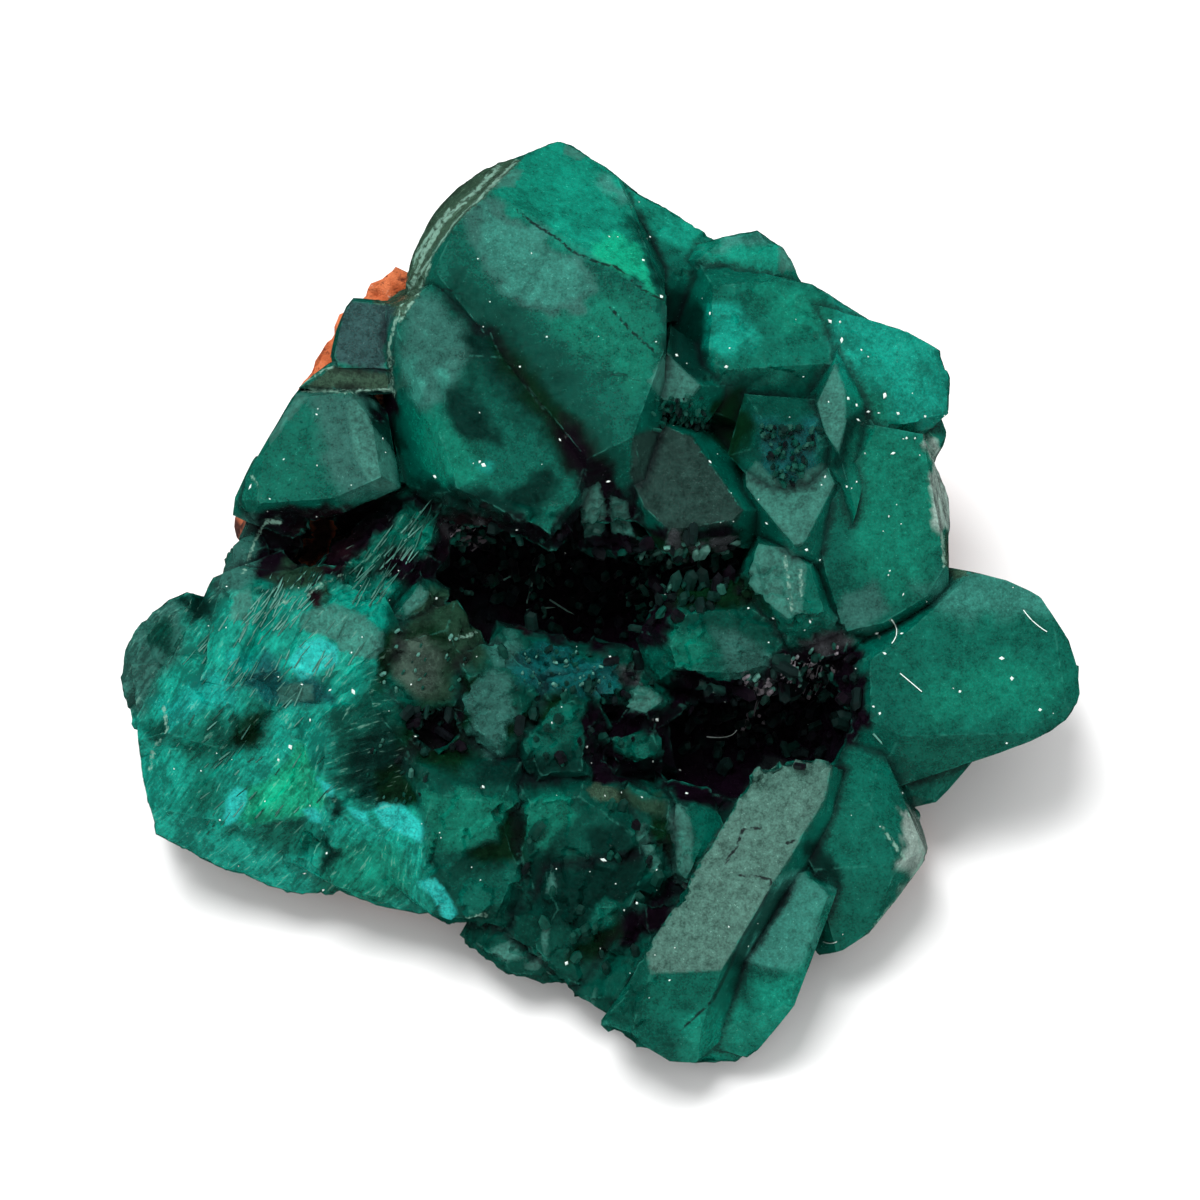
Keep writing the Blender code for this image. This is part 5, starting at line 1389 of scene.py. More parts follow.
        # Pale streaks, partly painted highlights along ridges and facet edges.
        streak_and_edge_glint = graph.total(graph.attribute(Stroke.STREAK_AND_EDGE_GLINT.value), graph.swing(noise.fine, 0.26))
        streak_and_edge_glint = graph.times(graph.band(streak_and_edge_glint, 0.065, 0.01), graph.band(noise.ragged, 0.36, 0.52))
        colour = graph.mix(graph.times(streak_and_edge_glint, 0.85), colour, self.pale)
        striations = graph.times(graph.band(noise.grain, 0.60, 0.69), noise.fibre)
        return graph.mix(graph.times(striations, 0.34), colour, self.pale)


@dataclass(frozen=True)
class RockFinish:
    """Rough terracotta rock with white bits and dark stains, and painted shade between and against the crystals.

    Attributes:
        earth: The main colour.
        light: The lighter blotches.
        stain: The dark stains.
        chalk: The white bits.
        painted_gap_shade: The painted shade on the rock that shows between the crystals.
        contact_shade: The painted shade where it meets the crystals out of sight.
        roughness: How dull it is.
    """

    earth: Colour = (0.54, 0.115, 0.036)
    light: Colour = (0.76, 0.205, 0.078)
    stain: Colour = (0.10, 0.022, 0.012)
    chalk: Colour = (0.80, 0.720, 0.600)
    painted_gap_shade: Colour = (0.022, 0.010, 0.012)
    contact_shade: Colour = (0.085, 0.070, 0.040)
    roughness: float = 0.86

    def material(self) -> bpy.types.Material:
        """Build the material."""
        graph = Graph("terracotta_rock")
        place = graph.millimetres()
        broad = graph.noise(place, 1.1, 5.0, 0.65)
        fine = graph.noise(place, 4.5, 6.0, 0.7)
        colour = graph.mix(graph.band(broad, 0.40, 0.62), self.earth, self.light)
        colour = graph.mix(graph.band(graph.noise(place, 1.3, 5.0, 0.65), 0.56, 0.70), colour, self.stain)
        colour = graph.mix(graph.band(fine, 0.60, 0.70), colour, self.chalk)
        colour = graph.mix(graph.band(fine, 0.44, 0.32), colour, self.stain)
        # Painted shade where the rock meets the crystals, out of the camera's sight.
        patchy = graph.total(graph.attribute("contact"), graph.noise(place, 2.4, 5.0, 0.65))
        colour = graph.mix(graph.times(graph.band(patchy, 0.85, 1.25), 0.85), colour, self.contact_shade)
        # Painted shade on the rock seen in the gap between the crystals.
        colour = graph.mix(graph.times(graph.attribute("painted_gap_shade"), 0.9), colour, self.painted_gap_shade)
        height = graph.total(fine, graph.times(graph.noise(place, 14.0, 4.0), 0.5))
        graph.surface(Base_Color=colour, Roughness=self.roughness, Normal=graph.bump(height, 0.9, 0.00016))
        return graph.material


@dataclass(frozen=True)
class DruseFinish:
    """Small crystals, each with a tone of its own.

    Attributes:
        dark: The colour of tone 0, near black; with the low tones of the beds in the vug it paints shade on the
            small crystals there.
        green: The colour of tone 0.35.
        pale: The colour of tone 1.
        mauve: The colour of the highest tones.
        roughness: The roughness of their facets.
        index: How strongly they bend light.
        clearness: The share of light that goes through.
    """

    dark: Colour = (0.0075, 0.0036, 0.0082)
    green: Colour = (0.003, 0.075, 0.052)
    pale: Colour = (0.120, 0.360, 0.290)
    mauve: Colour = (0.300, 0.270, 0.300)
    roughness: float = 0.28
    index: float = 1.67
    clearness: float = 0.25

    def material(self) -> bpy.types.Material:
        """Build the material."""
        graph = Graph("small_crystals")
        tone = graph.attribute("tone")
        colour = graph.mix(graph.band(tone, 0.0, 0.35), self.dark, self.green)
        colour = graph.mix(graph.band(tone, 0.35, 1.0), colour, self.pale)
        colour = graph.mix(graph.band(tone, 1.1, 1.3), colour, self.mauve)
        shade = graph.total(graph.times(graph.noise(graph.millimetres(), 6.0, 4.0), 1.6), 0.2)
        graph.surface(Base_Color=graph.scaled(colour, shade), Roughness=self.roughness, IOR=self.index,
                      Transmission_Weight=self.clearness)
        return graph.material


@dataclass(frozen=True)
class DustFinish:
    """Pale dust and lint.

    Attributes:
        colour: The main colour.
        light: The colour of the lighter parts.
        roughness: How dull it is.
    """

    colour: Colour = (0.62, 0.80, 0.74)
    light: Colour = (0.85, 0.92, 0.88)
    roughness: float = 0.6

    def material(self) -> bpy.types.Material:
        """Build the material."""
        graph = Graph("pale_dust")
        mottled = graph.mix(graph.noise(graph.millimetres(), 20.0), self.colour, self.light)
        graph.surface(Base_Color=mottled, Roughness=self.roughness)
        return graph.material


@dataclass(frozen=True)
class FloorFinish:
    """The plain pale floor.

    Attributes:
        colour: Its colour.
        roughness: How dull it is.
        gloss: How strongly it mirrors.
    """

    colour: Colour = (0.88, 0.88, 0.88)
    roughness: float = 0.9
    gloss: float = 0.1

    def material(self) -> bpy.types.Material:
        """Build the material."""
        graph = Graph("pale_floor")
        graph.surface(Base_Color=self.colour, Roughness=self.roughness, Specular_IOR_Level=self.gloss)
        return graph.material


def make_piece(name: str, points: np.ndarray, faces: np.ndarray, material: bpy.types.Material) -> bpy.types.Object:
    """A piece of the specimen from corners in the front frame.

    Args:
        name: The piece's name.
        points: Corner positions in the front frame, in millimetres.
        faces: Rows of three corner numbers.
        material: The piece's finish.

    Returns:
        The new object, riding on the one body.
    """
    mesh = bpy.data.meshes.new(name)
    mesh.vertices.add(len(points))
    mesh.vertices.foreach_set("co", FrontFrame.to_world(points).astype(np.float32).ravel())
    mesh.loops.add(len(faces) * 3)
    mesh.loops.foreach_set("vertex_index", np.asarray(faces, np.int32).ravel())
    mesh.polygons.add(len(faces))
    mesh.polygons.foreach_set("loop_start", np.arange(0, len(faces) * 3, 3, dtype=np.int32))
    mesh.update(calc_edges=True)
    mesh.validate()
    mesh.materials.append(material)
    made = bpy.data.objects.new(name, mesh)
    bpy.context.scene.collection.objects.link(made)
    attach(made, "root")
    return made


def keep(piece: bpy.types.Object, name: str, values: np.ndarray, where: str = "POINT") -> None:
    """Keep values on a piece's mesh, for its shader.

    Args:
        piece: The piece.
        name: What the values are called.
        values: A number, a direction or a colour for each corner.
        where: Whether a corner is a point of the mesh or a corner of each face.
    """
    kind, part = {1: ("FLOAT", "value"), 3: ("FLOAT_VECTOR", "vector"), 4: ("FLOAT_COLOR", "color")}[
        values.size // len(values)]
    kept = piece.data.attributes.new(name, kind, where)
    kept.data.foreach_set(part, values.astype(np.float32).ravel())


def mark_sharp(piece: bpy.types.Object, degrees: float) -> None:
    """Shade a piece smooth, with its edges sharper than an angle kept crisp."""
    piece.data.shade_smooth()
    piece.data.set_sharp_from_angle(angle=math.radians(degrees))


@dataclass
class Heap:
    """Many small shapes that are kept as one piece of the crystals.

    Attributes:
        points: Their corners in the front frame, in millimetres.
        faces: Rows of three corner numbers.
        tones: The tone of each corner, about 0 to 1.
    """

    points: list[tuple[float, float, float]] = field(default_factory=list)
    faces: list[tuple[int, int, int]] = field(default_factory=list)
    tones: list[float] = field(default_factory=list)

    def add(self, spots: Iterable[Vector], tone: float = 0.0) -> int:
        """Add corners of one tone, and give the number of the first."""
        first = len(self.points)
        self.points += [spot[:] for spot in spots]
        self.tones += [tone] * (len(self.points) - first)
        return first

    def wall(self, low: int, high: int, sides: int) -> None:
        """Join two rings of corners, each known by its first."""
        for step in range(sides):
            after = (step + 1) % sides
            self.faces.append((low + step, low + after, high + after))
            self.faces.append((low + step, high + after, high + step))

    def taper(self, ring: int, tip: int, sides: int, under: bool = False) -> None:
        """Join a ring of corners to a tip over it or under it."""
        for step in range(sides):
            pair = (ring + step, ring + (step + 1) % sides)
            self.faces.append((*(pair[::-1] if under else pair), tip))

    def cap(self, ring: int, sides: int, under: bool = False) -> None:
        """Close a ring of corners with a flat cap."""
        for step in range(1, sides - 1):
            pair = (ring + step, ring + step + 1)
            self.faces.append((ring, *(pair[::-1] if under else pair)))

    def piece(self, name: str, material: bpy.types.Material) -> bpy.types.Object:
        """Make the piece, with flat faces and with its tones, if it has any."""
        made = make_piece(name, np.array(self.points), np.array(self.faces), material)
        if any(self.tones):
            keep(made, "tone", np.array(self.tones))
        made.data.shade_flat()
        return made


def ring(middle: Vector, across: Vector, along: Vector, sides: int) -> list[Vector]:
    """The corners of a flat ring.

    Args:
        middle: Its middle.
        across: The way to its first corner, as long as the ring's radius.
        along: The way to the corner a quarter round from it, as long as the radius there.
        sides: How many corners it has.

    Returns:
        The corners in order.
    """
    turns = [math.tau * step / sides for step in range(sides)]
    return [middle + across * math.cos(turn) + along * math.sin(turn) for turn in turns]


@dataclass
class CrystalCluster:
    """The large crystals and the druse that joins them, as one intergrown piece.

    Attributes:
        solid: The plain solid that the piece stands for.
        face_size: The size of a fine face, in millimetres.
        back_size: The size of a face behind.
        crisp: The angle above which an edge stays sharp, in degrees.
        grain: The direction of the grain on a facet in no zone, in degrees from the right.
        hollows: The middle of each hollow that takes painted shade, and its reach to the sides and up.
        hollow_edge: How far beyond that reach the painted shade goes, and how far it takes to fade.
        hollow_rim: The level at which the painted shade in the hollows begins.
        hollow_fall: How much deeper the painted shade is at its darkest.
        skin: The finished surface.
    """

    solid: bpy.types.Object
    face_size: float = 0.125
    back_size: float = 0.36
    crisp: float = 24.0
    grain: float = 62.0
    hollows: Sequence[tuple[Spot, Spot]] = (
        ((-1.2, 0.8), (4.9, 3.2)),
        ((4.4, -3.9), (3.9, 2.7)),
        ((-7.9, 1.7), (2.2, 1.3)),
    )
    hollow_edge: tuple[float, float] = (1.25, 0.3)
    hollow_rim: float = -2.6
    hollow_fall: float = 1.4
    skin: Skin | None = None

    def build(self) -> bpy.types.Object:
        """Mesh the cluster, break its surface and dress it."""
        self.skin = FacetMesher(self.solid, self.face_size, self.back_size).build()
        flat_points = self.skin.points.copy()
        marks = Marks(self.skin)
        tint, sink = marks.washes()
        relief = Relief(self.skin, ZONES, sink)
        relief.apply()
        skin, material = self.skin, CrystalFinish().material()
        piece = make_piece("crystal_cluster_crystals", skin.points, skin.faces, material)
        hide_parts(self.solid.name)
        mark_sharp(piece, self.crisp)
        kept = {look.value: marks.patches(look) for look in Look}
        kept |= {stroke.value: marks.strokes(stroke) for stroke in Stroke}
        kept |= {"edge": skin.edge, "crevice": skin.crevice, "tone": relief.tone, "fibre": relief.fibre}
        kept |= {"depth": self.depth(flat_points), "tint": np.hstack([tint, np.ones((len(tint), 1))])}
        for name, values in kept.items():
            keep(piece, name, values)
        keep(piece, "flow", self.flow(flat_points), "CORNER")
        return piece

    def depth(self, points: np.ndarray) -> np.ndarray:
        """How deep each corner lies in the vug and its side hollows, from 0 at the rim to 1, which the shader
        turns into painted shade.
        """
        spots = FrontFrame.seen(points)
        edge, fade = self.hollow_edge
        held = np.zeros(len(points))
        for centre, reach in self.hollows:
            away = (((spots - np.array(centre)) / np.array(reach)) ** 2).sum(axis=1)
            held = np.maximum(held, np.clip((edge - away) / fade, 0, 1))
        return held * np.clip((self.hollow_rim - points[:, 2]) / self.hollow_fall, 0, 1)

    def flow(self, points: np.ndarray) -> np.ndarray:
        """Where each face's corners are across and along the grain of their facet, and its number."""
        grains = np.full(len(self.skin.facet_normals), math.radians(self.grain))
        seen = FrontFrame.seen(points[self.skin.faces].mean(axis=1))
        for zone in ZONES:
            hit = outline_distance(seen, zone.outline) < 0
            grains[np.unique(self.skin.facet[hit])] = math.radians(zone.grain)
        normals = self.skin.facet_normals
        along = np.stack([np.cos(grains), np.sin(grains), np.zeros(len(grains))], axis=1)
        along -= normals * (normals * along).sum(axis=1)[:, None]
        along /= np.maximum(np.linalg.norm(along, axis=1), 1e-6)[:, None]
        corners = points[self.skin.faces.ravel()]
        facet = np.repeat(self.skin.facet, 3)
        ways = (np.cross(normals, along)[facet], along[facet])
        return np.stack([*((corners * way).sum(axis=1) for way in ways), facet % 37 * 1.7], axis=1)


class Lookout:
    """Finds the places on the crystals that the camera sees."""

    def __init__(self, skin: Skin) -> None:
        """Keep the skin as a tree of faces."""
        self.tree = BVHTree.FromPolygons(skin.points.tolist(), skin.faces.tolist())

    def find(self, spot: Spot) -> tuple[Vector, Vector] | None:
        """The place and outward direction that the camera sees at a spot, if the spot is on the crystals."""
        ray = (Vector((*spot, 0.0)) - FrontFrame.eye).normalized()
        place, normal, _, _ = self.tree.ray_cast(FrontFrame.eye, ray)
        return None if place is None else (place, normal)

    def sees(self, place: Vector) -> bool:
        """Whether the camera sees a place past the crystals."""
        away = place - FrontFrame.eye
        return self.tree.ray_cast(FrontFrame.eye, away.normalized(), away.length - 0.05)[0] is None

    def nearness(self, place: Vector, reach: float) -> float:
        """How near a place is to the crystals, from 0 at a distance to 1."""
        distance = self.tree.find_nearest(place, reach)[3]
        return 0.0 if distance is None else 1 - distance / reach


@dataclass
class RockMatrix:
    """The rough rock under the crystals.

    Attributes:
        solid: The plain solid that the piece stands for.
        lookout: Finds the crystals, and what they hide.
        face_size: The size of a face in front, in millimetres.
        back_size: The size of a face behind.
        contact_shade_reach: How far from the crystals the rock takes painted shade.
        gap: The gap between the crystals where the rock takes painted shade.
        gap_fade: How far that painted shade takes to fade at its edge.
        lumps: The height of its lumps.
        chips: The height of the flat chips on them.
        crisp: The angle above which an edge stays sharp, in degrees.
    """

    solid: bpy.types.Object
    lookout: Lookout
    face_size: float = 0.2
    back_size: float = 0.3
    contact_shade_reach: float = 1.6
    gap: Outline = ((-11.6, 3.2), (-5.5, 3.2), (-5.5, 0.4), (-11.6, 0.4))
    gap_fade: float = 0.6
    lumps: float = 0.18
    chips: float = 0.20
    crisp: float = 40.0

    def build(self) -> bpy.types.Object:
        """Mesh the rock, roughen it and dress it."""
        skin = FacetMesher(self.solid, self.face_size, self.back_size).build()
        heights = FrontFrame.to_world(skin.points)[:, 2] / MM
        rough = Noise(61).layered(skin.points * 0.8, 5) * self.lumps
        rough += Noise(67).flakes(skin.points * 1.4)[0] * self.chips
        skin.points = skin.points + skin.normals() * (rough * np.clip(heights / 0.5, 0, 1))[:, None]
        piece = make_piece("matrix_rock", skin.points, skin.faces, RockFinish().material())
        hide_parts(self.solid.name)
        painted_gap_shade, contact = self.shades(skin.points)
        keep(piece, "painted_gap_shade", painted_gap_shade)
        keep(piece, "contact", contact)
        mark_sharp(piece, self.crisp)
        return piece

    def shades(self, points: np.ndarray) -> tuple[np.ndarray, np.ndarray]:
        """How much painted shade each corner takes in the gap where the camera sees it, and how near it lies to
        the crystals out of sight, for painted shade there.
        """
        painted_gap_shade = np.clip(0.5 - outline_distance(FrontFrame.seen(points), self.gap) / self.gap_fade, 0, 1)
        contact = np.zeros(len(points))
        for number, place in enumerate(map(Vector, points)):
            if not self.lookout.sees(place):
                painted_gap_shade[number] = 0.0
                contact[number] = self.lookout.nearness(place, self.contact_shade_reach)
        return painted_gap_shade, contact


@dataclass(frozen=True)
class Bed:
    """A part of the face where small crystals grow.

    Attributes:
        outline: Its edge, as the camera sees it.
        count: How many crystals grow there.
        least: Their least radius, in millimetres.
        most: Their greatest radius.
        tone: Their tone, about 0 to 1.
        lean: The direction they lean to, in degrees from the right, or None for every way.
    """

    outline: Outline
    count: int
    least: float
    most: float
    tone: float
    lean: float | None = None


# The three beds with the lowest tones lie in the vug and a dark pocket beside it; those low tones paint shade on
# their crystals.
BEDS: list[Bed] = [
    Bed([
        (-4.8, 2.6), (-1.6, 2.0), (1.2, 2.2), (4.2, 2.2), (4.3, 0.0), (2.0, -1.2), (-2.9, -1.0), (-4.8, 0.6)],
        110, 0.08, 0.24, 0.09),
    Bed([
        (4.0, -2.0), (7.8, -1.4), (7.8, -3.8), (6.8, -4.9), (4.4, -5.2), (2.6, -5.6), (2.2, -3.0)],
        80, 0.08, 0.24, 0.08),
    Bed([(-6.4, -0.8), (-4.2, -0.7), (-3.9, -2.4), (-5.8, -3.4), (-6.8, -2.4)], 22, 0.03, 0.07, 0.6, 60.0),
    Bed([(-5.7, -3.2), (-4.3, -3.1), (-4.1, -4.4), (-5.2, -4.8), (-5.8, -4.2)], 16, 0.08, 0.22, 0.08),
    Bed([
        (-3.0, -1.3), (0.4, -1.6), (1.9, -2.8), (1.9, -5.2), (-0.4, -5.3), (-2.8, -4.4)],
        26, 0.07, 0.20, 0.14),
    Bed([
        (-2.4, -7.0), (0.2, -5.9), (2.0, -7.0), (2.2, -8.4), (0.9, -11.6), (-2.4, -10.4)],
        26, 0.07, 0.20, 0.16, 80.0),
    Bed([(-7.0, -3.6), (-5.6, -4.4), (-5.2, -5.2), (-5.4, -6.2), (-7.0, -6.0)], 18, 0.04, 0.09, 0.3, 58.0),
    Bed([(1.5, 6.0), (3.0, 6.1), (3.3, 5.1), (1.6, 5.1)], 60, 0.04, 0.10, 0.22),
    Bed([(4.8, 5.2), (6.5, 5.2), (6.3, 4.1), (5.8, 3.5), (5.1, 3.7)], 90, 0.05, 0.13, 0.24),
    Bed([(-2.5, -1.5), (-0.3, -1.6), (0.5, -2.0), (0.3, -2.9), (-2.3, -2.6)], 60, 0.03, 0.07, 0.45),
    Bed([(1.2, 1.7), (4.0, 1.8), (4.2, 1.0), (1.4, 0.9)], 34, 0.06, 0.18, 0.5, 70.0),
    Bed([(-4.6, 2.4), (-1.6, 1.2), (-1.4, -0.6), (-4.2, 0.2)], 44, 0.06, 0.16, 0.3),
    Bed([(0.4, 1.6), (4.0, 1.2), (4.0, 0.2), (1.0, -0.8)], 44, 0.06, 0.16, 0.3),
    Bed([(4.3, -2.3), (5.2, -2.4), (4.9, -4.0), (4.2, -4.0)], 34, 0.04, 0.11, 1.2, 75.0),
    Bed([(5.4, -1.6), (7.2, -1.4), (7.0, -2.9), (5.6, -3.1)], 44, 0.04, 0.10, 0.8, 70.0),
    Bed([(-4.6, 2.2), (-3.5, 2.2), (-3.6, 1.4), (-4.4, 1.5)], 20, 0.04, 0.09, 1.1, 40.0),
]


@dataclass
class SmallCrystals:
    """The druse of small crystals in the vug and between the large ones.

    Attributes:
        lookout: Finds the places that the camera sees.
        sides: How many sides a crystal has.
        sway: How far a crystal's lean may differ from its bed's, in degrees.
        foot: How deep a crystal's foot goes under the surface, as a share of its radius.
    """

    lookout: Lookout
    sides: int = 6
    sway: float = 14.0
    foot: float = 0.8

    def build(self) -> bpy.types.Object:
        """Grow every bed."""
        chance = random.Random(11)
        heap = Heap()
        for bed in BEDS:
            grown = 0
            for _ in range(bed.count * 4):
                spot = random_spot(bed.outline, chance)
                if grown == bed.count or not holds(bed.outline, spot):
                    continue
                found = self.lookout.find(spot)
                if found is not None:
                    grown += 1
                    self.grow(found, chance, bed, heap)
        return heap.piece("crystal_cluster_druse", DruseFinish().material())

    def grow(self, found: tuple[Vector, Vector], chance: random.Random, bed: Bed, heap: Heap) -> None:
        """Add one crystal with a pointed end.

        Args:
            found: The place it grows from and the surface's direction there.
            chance: The random draws.
            bed: The bed that it belongs to.
            heap: The shapes to add to.
        """
        place, normal = found
        radius = chance.uniform(bed.least, bed.most)
        height = radius * chance.uniform(1.2, 3.2)
        side = Vector((chance.uniform(-1, 1), chance.uniform(-1, 1), chance.uniform(-0.4, 1)))
        if bed.lean is not None:
            turn = math.radians(bed.lean + chance.uniform(-self.sway, self.sway))
            side = Vector((math.cos(turn), math.sin(turn), 0.3)) * 2.2
        axis = (normal * 1.4 + side * 0.8).normalized()
        across = axis.orthogonal().normalized()
        across.rotate(Matrix.Rotation(chance.uniform(0, 1.05), 3, axis))
        tone = bed.tone * chance.uniform(0.2, 2.2)
        along = axis.cross(across) * chance.uniform(0.6, 1.0)
        base = place - axis * radius * self.foot
        shoulder = ring(place + axis * height, across * radius * 0.95, along * radius * 0.95, self.sides)
        uneven = [spot + axis * radius * (-0.35 if step % 2 else 0.1) for step, spot in enumerate(shoulder)]
        low = heap.add(ring(place, across * radius, along * radius, self.sides), tone)
        high = heap.add(uneven, tone)
        tip = heap.add([base + axis * (height + radius * chance.uniform(1.3, 1.9))], tone)
        heap.wall(low, high, self.sides)
        heap.taper(high, tip, self.sides)
        heap.cap(low, self.sides, under=True)


@dataclass(frozen=True)
class Fan:
    """A part of the face where strands start, all in about one direction.

    Attributes:
        outline: Its edge, as the camera sees it.
        count: How many strands are tried there.
        length: Their length, in millimetres.
        direction: Their direction, in degrees from the right.
        tone: Their tone, about 0 to 1.
    """

    outline: Outline
    count: int
    length: float
    direction: float
    tone: float


FANS: list[Fan] = [
    Fan([(-8.2, 0.0), (-7.2, 1.2), (-5.8, 2.2), (-5.2, 1.6), (-6.8, -0.4)], 90, 0.9, 52.0, 0.75),
    Fan([(-7.0, 1.2), (-5.6, 2.6), (-4.9, 2.2), (-5.6, 1.2)], 50, 0.6, 60.0, 0.35),
    Fan([(-9.8, 0.4), (-9.2, 1.1), (-8.5, 1.0), (-8.6, 0.4)], 26, 0.5, 55.0, 0.3),
    Fan([(-12.8, -2.4), (-11.9, -0.6), (-8.8, -0.5), (-7.0, -1.6), (-9.4, -3.4)], 110, 0.5, 56.0, 0.8),
    Fan([(-11.2, -0.9), (-9.8, 0.4), (-8.4, 0.4), (-9.2, -1.0)], 70, 0.7, 54.0, 1.0),
    Fan([(-13.4, -3.4), (-9.0, -3.0), (-7.4, -5.6), (-11.8, -7.6)], 60, 0.4, 48.0, 0.6),
    Fan([(5.2, -1.8), (6.6, -1.7), (6.8, -2.8), (5.6, -3.1)], 60, 0.35, 70.0, 1.6),
    Fan([(4.2, -2.4), (5.1, -2.5), (4.8, -3.8), (4.3, -4.0)], 16, 0.3, 75.0, 1.5),
    Fan([(-4.6, 2.2), (-3.5, 2.2), (-3.6, 1.4), (-4.4, 1.5)], 18, 0.22, 40.0, 1.6),
]

NEEDLES: list[tuple[Spot, Spot]] = [
    ((-2.2, -0.1), (-1.8, 1.3)),
    ((-2.9, 0.6), (-2.5, 0.8)),
    ((0.8, 0.1), (1.3, -0.35)),
    ((-1.5, 0.0), (-0.8, -0.5)),
    ((8.2, -4.0), (8.5, -4.3)),
    ((-2.2, -0.3), (-1.3, -0.2)),
]


@dataclass
class Strands:
    """The thin fibrous crystals beside the vug, and the few long needles in it.

    Attributes:
        lookout: Finds the places that the camera sees.
        sides: How many sides a strand has.
        sway: How far a strand's direction may differ from its fan's, in degrees.
        thickness: The least and greatest radius of a strand, in millimetres.
        needle: The radius of a needle.
        deepest: How far apart in depth the ends of a strand may be.
    """

    lookout: Lookout
    sides: int = 4
    sway: float = 12.0
    thickness: tuple[float, float] = (0.013, 0.032)
    needle: float = 0.04
    deepest: float = 2.4

    def build(self) -> bpy.types.Object:
        """Lay every strand on the surface."""
        chance = random.Random(23)
        heap = Heap()
        for fan in FANS:
            for _ in range(fan.count):
                start = random_spot(fan.outline, chance)
                if not holds(fan.outline, start):
                    continue
                turn = math.radians(fan.direction + chance.uniform(-self.sway, self.sway))
                reach = fan.length * chance.uniform(0.5, 1.4)
                end = (start[0] + math.cos(turn) * reach, start[1] + math.sin(turn) * reach)
                radius = chance.uniform(*self.thickness)
                self.lay(start, end, radius, fan.tone + chance.uniform(-0.3, 0.2), heap)
        for start, end in NEEDLES:
            self.lay(start, end, self.needle, 1.0, heap)
        return heap.piece("crystal_cluster_strands", DruseFinish().material())

    def lay(self, start: Spot, end: Spot, radius: float, tone: float, heap: Heap) -> None:
        """Add one tapered strand between two spots, if both are on the crystals and near in depth.

        Args:
            start: The spot of its foot.
            end: The spot of its tip.
            radius: Its radius at the foot.
            tone: Its tone.
            heap: The shapes to add to.
        """
        ends = [self.lookout.find(start), self.lookout.find(end)]
        if None in ends or (ends[0][0] - ends[1][0]).length > self.deepest:
            return
        (foot, rise), (head, lift) = ends
        head = head + lift * radius
        axis = (head - foot).normalized()
        across = axis.orthogonal().normalized() * radius
        along = axis.cross(across)
        sunk = rise * radius * 0.5
        low = heap.add(ring(foot + sunk, across, along, self.sides), max(tone, 0))
        neck = foot.lerp(head, 0.75) + sunk
        high = heap.add(ring(neck, across * 0.85, along * 0.85, self.sides), max(tone, 0))
        tip = heap.add([head + lift * radius], max(tone, 0))
        heap.wall(low, high, self.sides)
        heap.taper(high, tip, self.sides)
        heap.cap(low, self.sides, under=True)


@dataclass
class Dust:
    """Pale specks and fibres of lint that lie on the faces.

    Attributes:
        lookout: Finds the places that the camera sees.
        least: The least radius of a speck, in millimetres.
        most: The greatest radius of a speck.
        scattered: How many more specks lie anywhere.
        spread: The box that those lie in: its least and greatest x, then its least and greatest v.
        thickness: The radius of a fibre.
        rise: How far a fibre lies above the surface.
        joints: How many rings of corners a fibre has.
    """

    lookout: Lookout
    least: float = 0.03
    most: float = 0.065
    scattered: int = 160
    spread: tuple[float, float, float, float] = (-13.0, 13.0, -12.0, 13.0)
    thickness: float = 0.018
    rise: float = 0.05
    joints: int = 9

    def build(self) -> bpy.types.Object:
        """Lay down every speck and fibre."""
        chance = random.Random(37)
        heap = Heap()
        left, right, bottom, top = self.spread
        spots = [(spot, self.most) for spot in SPECKS]
        for _ in range(self.scattered):
            spots.append(((chance.uniform(left, right), chance.uniform(bottom, top)), self.least))
        for spot, size in spots:
            found = self.lookout.find(spot)
            if found is not None:
                self.speck(found, chance.uniform(self.least * 0.6, size), chance, heap)
        for path in FIBRES:
            self.fibre(path, heap)
        return heap.piece("crystal_cluster_dust", DustFinish().material())

    @staticmethod
    def speck(found: tuple[Vector, Vector], radius: float, chance: random.Random, heap: Heap) -> None:
        """Add one uneven eight-sided grain."""
        place, normal = found
        across = normal.orthogonal().normalized()
        across.rotate(Matrix.Rotation(chance.uniform(0, 3), 3, normal))
        along = normal.cross(across)
        long = chance.uniform(0.7, 2.0)
        arms = (across * long, along, -across * long, -along, normal * 0.7, -normal * 0.7)
        first = heap.add([place + arm * radius * chance.uniform(0.7, 1.2) for arm in arms])
        heap.taper(first, first + 4, 4)
        heap.taper(first, first + 5, 4, under=True)

    def fibre(self, path: Outline, heap: Heap) -> None:
        """Add one thin curved thread along a path of three spots."""
        a, b, c = (np.array(spot) for spot in path)
        bend = 2 * b - (a + c) / 2
        middles = []
        for share in np.linspace(0, 1, self.joints):
            found = self.lookout.find(a * (1 - share) ** 2 + bend * 2 * share * (1 - share) + c * share**2)
            if found is None:
                return
            middles.append(found[0] + Vector((0, 0, self.rise)))
        rings = []
        for number, middle in enumerate(middles):
            ahead = middles[min(number + 1, len(middles) - 1)] - middles[max(number - 1, 0)]
            across = ahead.orthogonal().normalized() * self.thickness
            rings.append(heap.add(ring(middle, across, ahead.normalized().cross(across), 4)))
        for low, high in itertools.pairwise(rings):
            heap.wall(low, high, 4)
        heap.cap(rings[0], 4, under=True)
        heap.cap(rings[-1], 4)


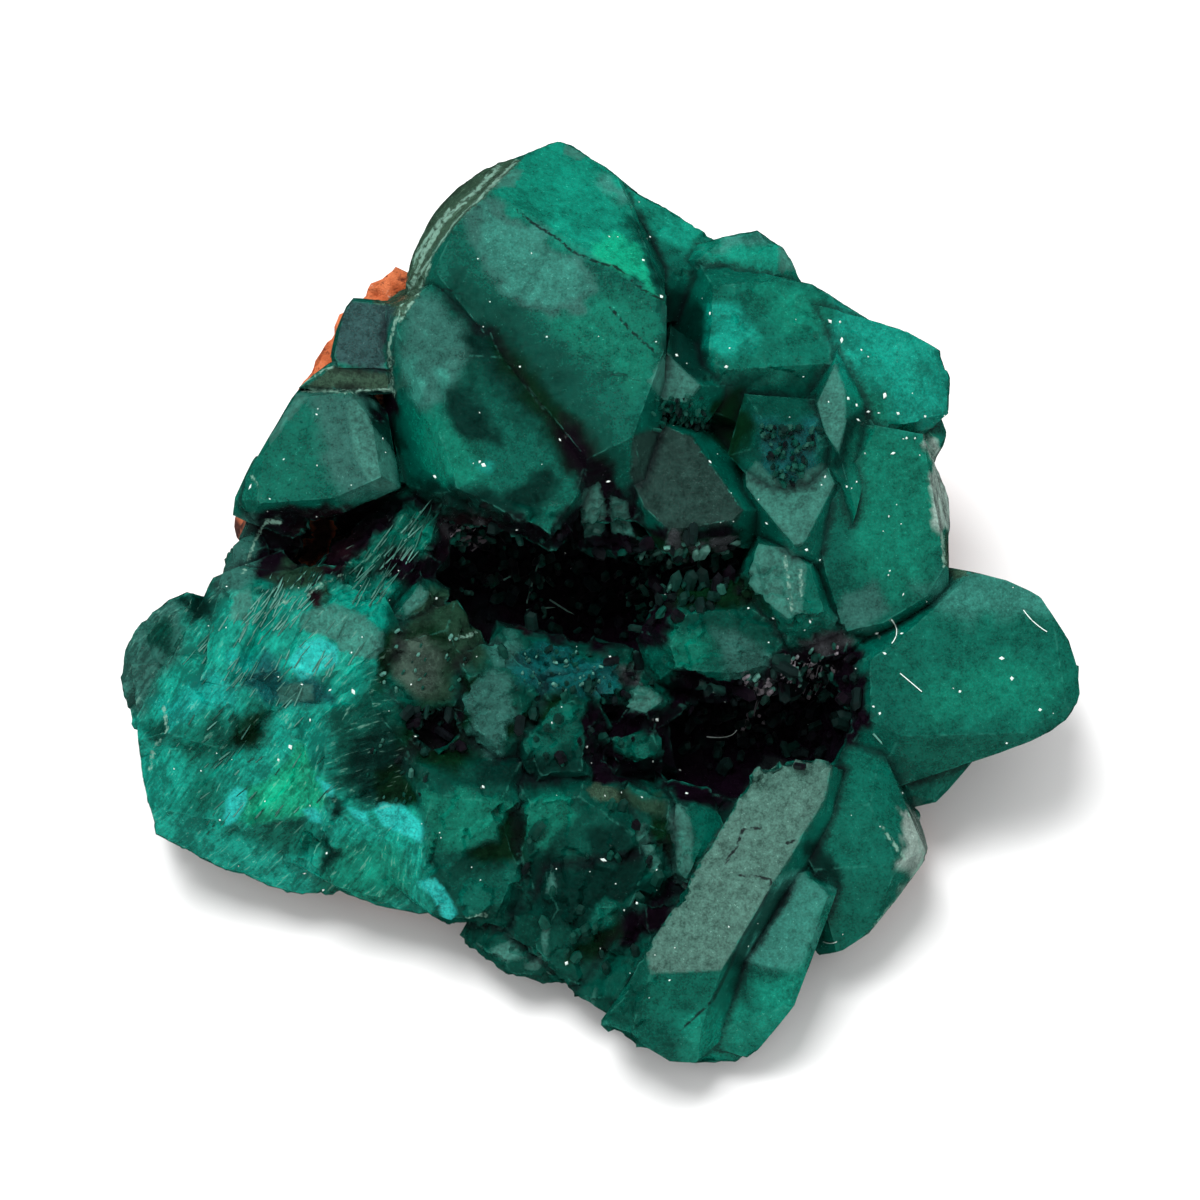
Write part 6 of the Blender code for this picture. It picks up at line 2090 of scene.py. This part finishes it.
@dataclass
class Studio:
    """The pale floor, the soft lights and the camera.

    Attributes:
        key_strength: The overhead softbox's power, in watts.
        key_size: The softbox's side, in metres.
        key_way: The direction to it, in the front frame.
        key_distance: How far away it is, in metres.
        gleam: The power of its mirror image in the facets, in watts.
        fill: The strength of the even light from all round.
        floor_size: The floor's half side, in metres.
        lens: The camera's focal length in millimetres, for a sensor 36 mm wide.
    """

    key_strength: float = 1.3
    key_size: float = 0.16
    key_way: tuple[float, float, float] = (-0.19, 0.57, 0.80)
    key_distance: float = 0.38
    gleam: float = 0.026
    fill: float = 0.9
    floor_size: float = 1.5
    lens: float = 150.0

    def build(self) -> None:
        """Set up everything that isn't part of the specimen."""
        self.lay_floor()
        self.place_camera()
        soft = self.place_light("softbox", self.key_strength)
        soft.visible_glossy = False
        soft.visible_transmission = False
        gleam = self.place_light("softbox_gleam", self.gleam)
        gleam.visible_diffuse = False
        gleam.visible_transmission = False
        world = bpy.data.worlds.new("even_light")
        world.use_nodes = True
        bpy.context.scene.world = world
        world.node_tree.nodes["Background"].inputs[0].default_value = (1, 1, 1, 1)
        world.node_tree.nodes["Background"].inputs[1].default_value = self.fill
        world.cycles_visibility.glossy = False
        bpy.context.scene.view_settings.view_transform = "Standard"

    def lay_floor(self) -> None:
        """Make the floor."""
        form = bmesh.new()
        bmesh.ops.create_grid(form, x_segments=4, y_segments=4, size=self.floor_size)
        mesh = bpy.data.meshes.new("floor")
        form.to_mesh(mesh)
        form.free()
        mesh.materials.append(FloorFinish().material())
        floor = bpy.data.objects.new("floor", mesh)
        bpy.context.scene.collection.objects.link(floor)
        floor.visible_glossy = False

    def place_camera(self) -> None:
        """Look square onto the face of the specimen."""
        lens = bpy.data.cameras.new("camera")
        lens.lens = self.lens
        lens.sensor_width = 36.0
        lens.clip_start = 0.01
        camera = bpy.data.objects.new("camera", lens)
        camera.matrix_world = FrontFrame.upright @ Matrix.Translation((0, 0, VIEW_DISTANCE * MM))
        bpy.context.scene.collection.objects.link(camera)
        bpy.context.scene.camera = camera

    def place_light(self, name: str, power: float) -> bpy.types.Object:
        """Put a light of some power, in watts, in the softbox's place, facing the specimen."""
        light = bpy.data.lights.new(name, "AREA")
        light.shape = "SQUARE"
        light.size = self.key_size
        light.energy = power
        made = bpy.data.objects.new(name, light)
        toward = Matrix.Rotation(LEAN, 3, "X") @ Vector(self.key_way).normalized()
        made.location = toward * self.key_distance + FrontFrame.upright.translation
        made.rotation_euler = toward.to_track_quat("Z", "Y").to_euler()
        bpy.context.scene.collection.objects.link(made)
        return made


def report(piece: bpy.types.Object) -> None:
    """Say what a finished piece is made of."""
    LOG.info("%s: %d corners, %d faces", piece.name, len(piece.data.vertices), len(piece.data.polygons))


def main() -> None:
    """Build the specimen and the studio round it."""
    logging.basicConfig(level=logging.INFO)
    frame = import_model()
    cluster = CrystalCluster(frame["nodes"]["crystal_cluster"])
    report(cluster.build())
    lookout = Lookout(cluster.skin)
    rock = RockMatrix(frame["nodes"]["matrix"], lookout)
    for part in (rock, SmallCrystals(lookout), Strands(lookout), Dust(lookout)):
        report(part.build())
    Studio().build()


if __name__ == "__main__":
    main()
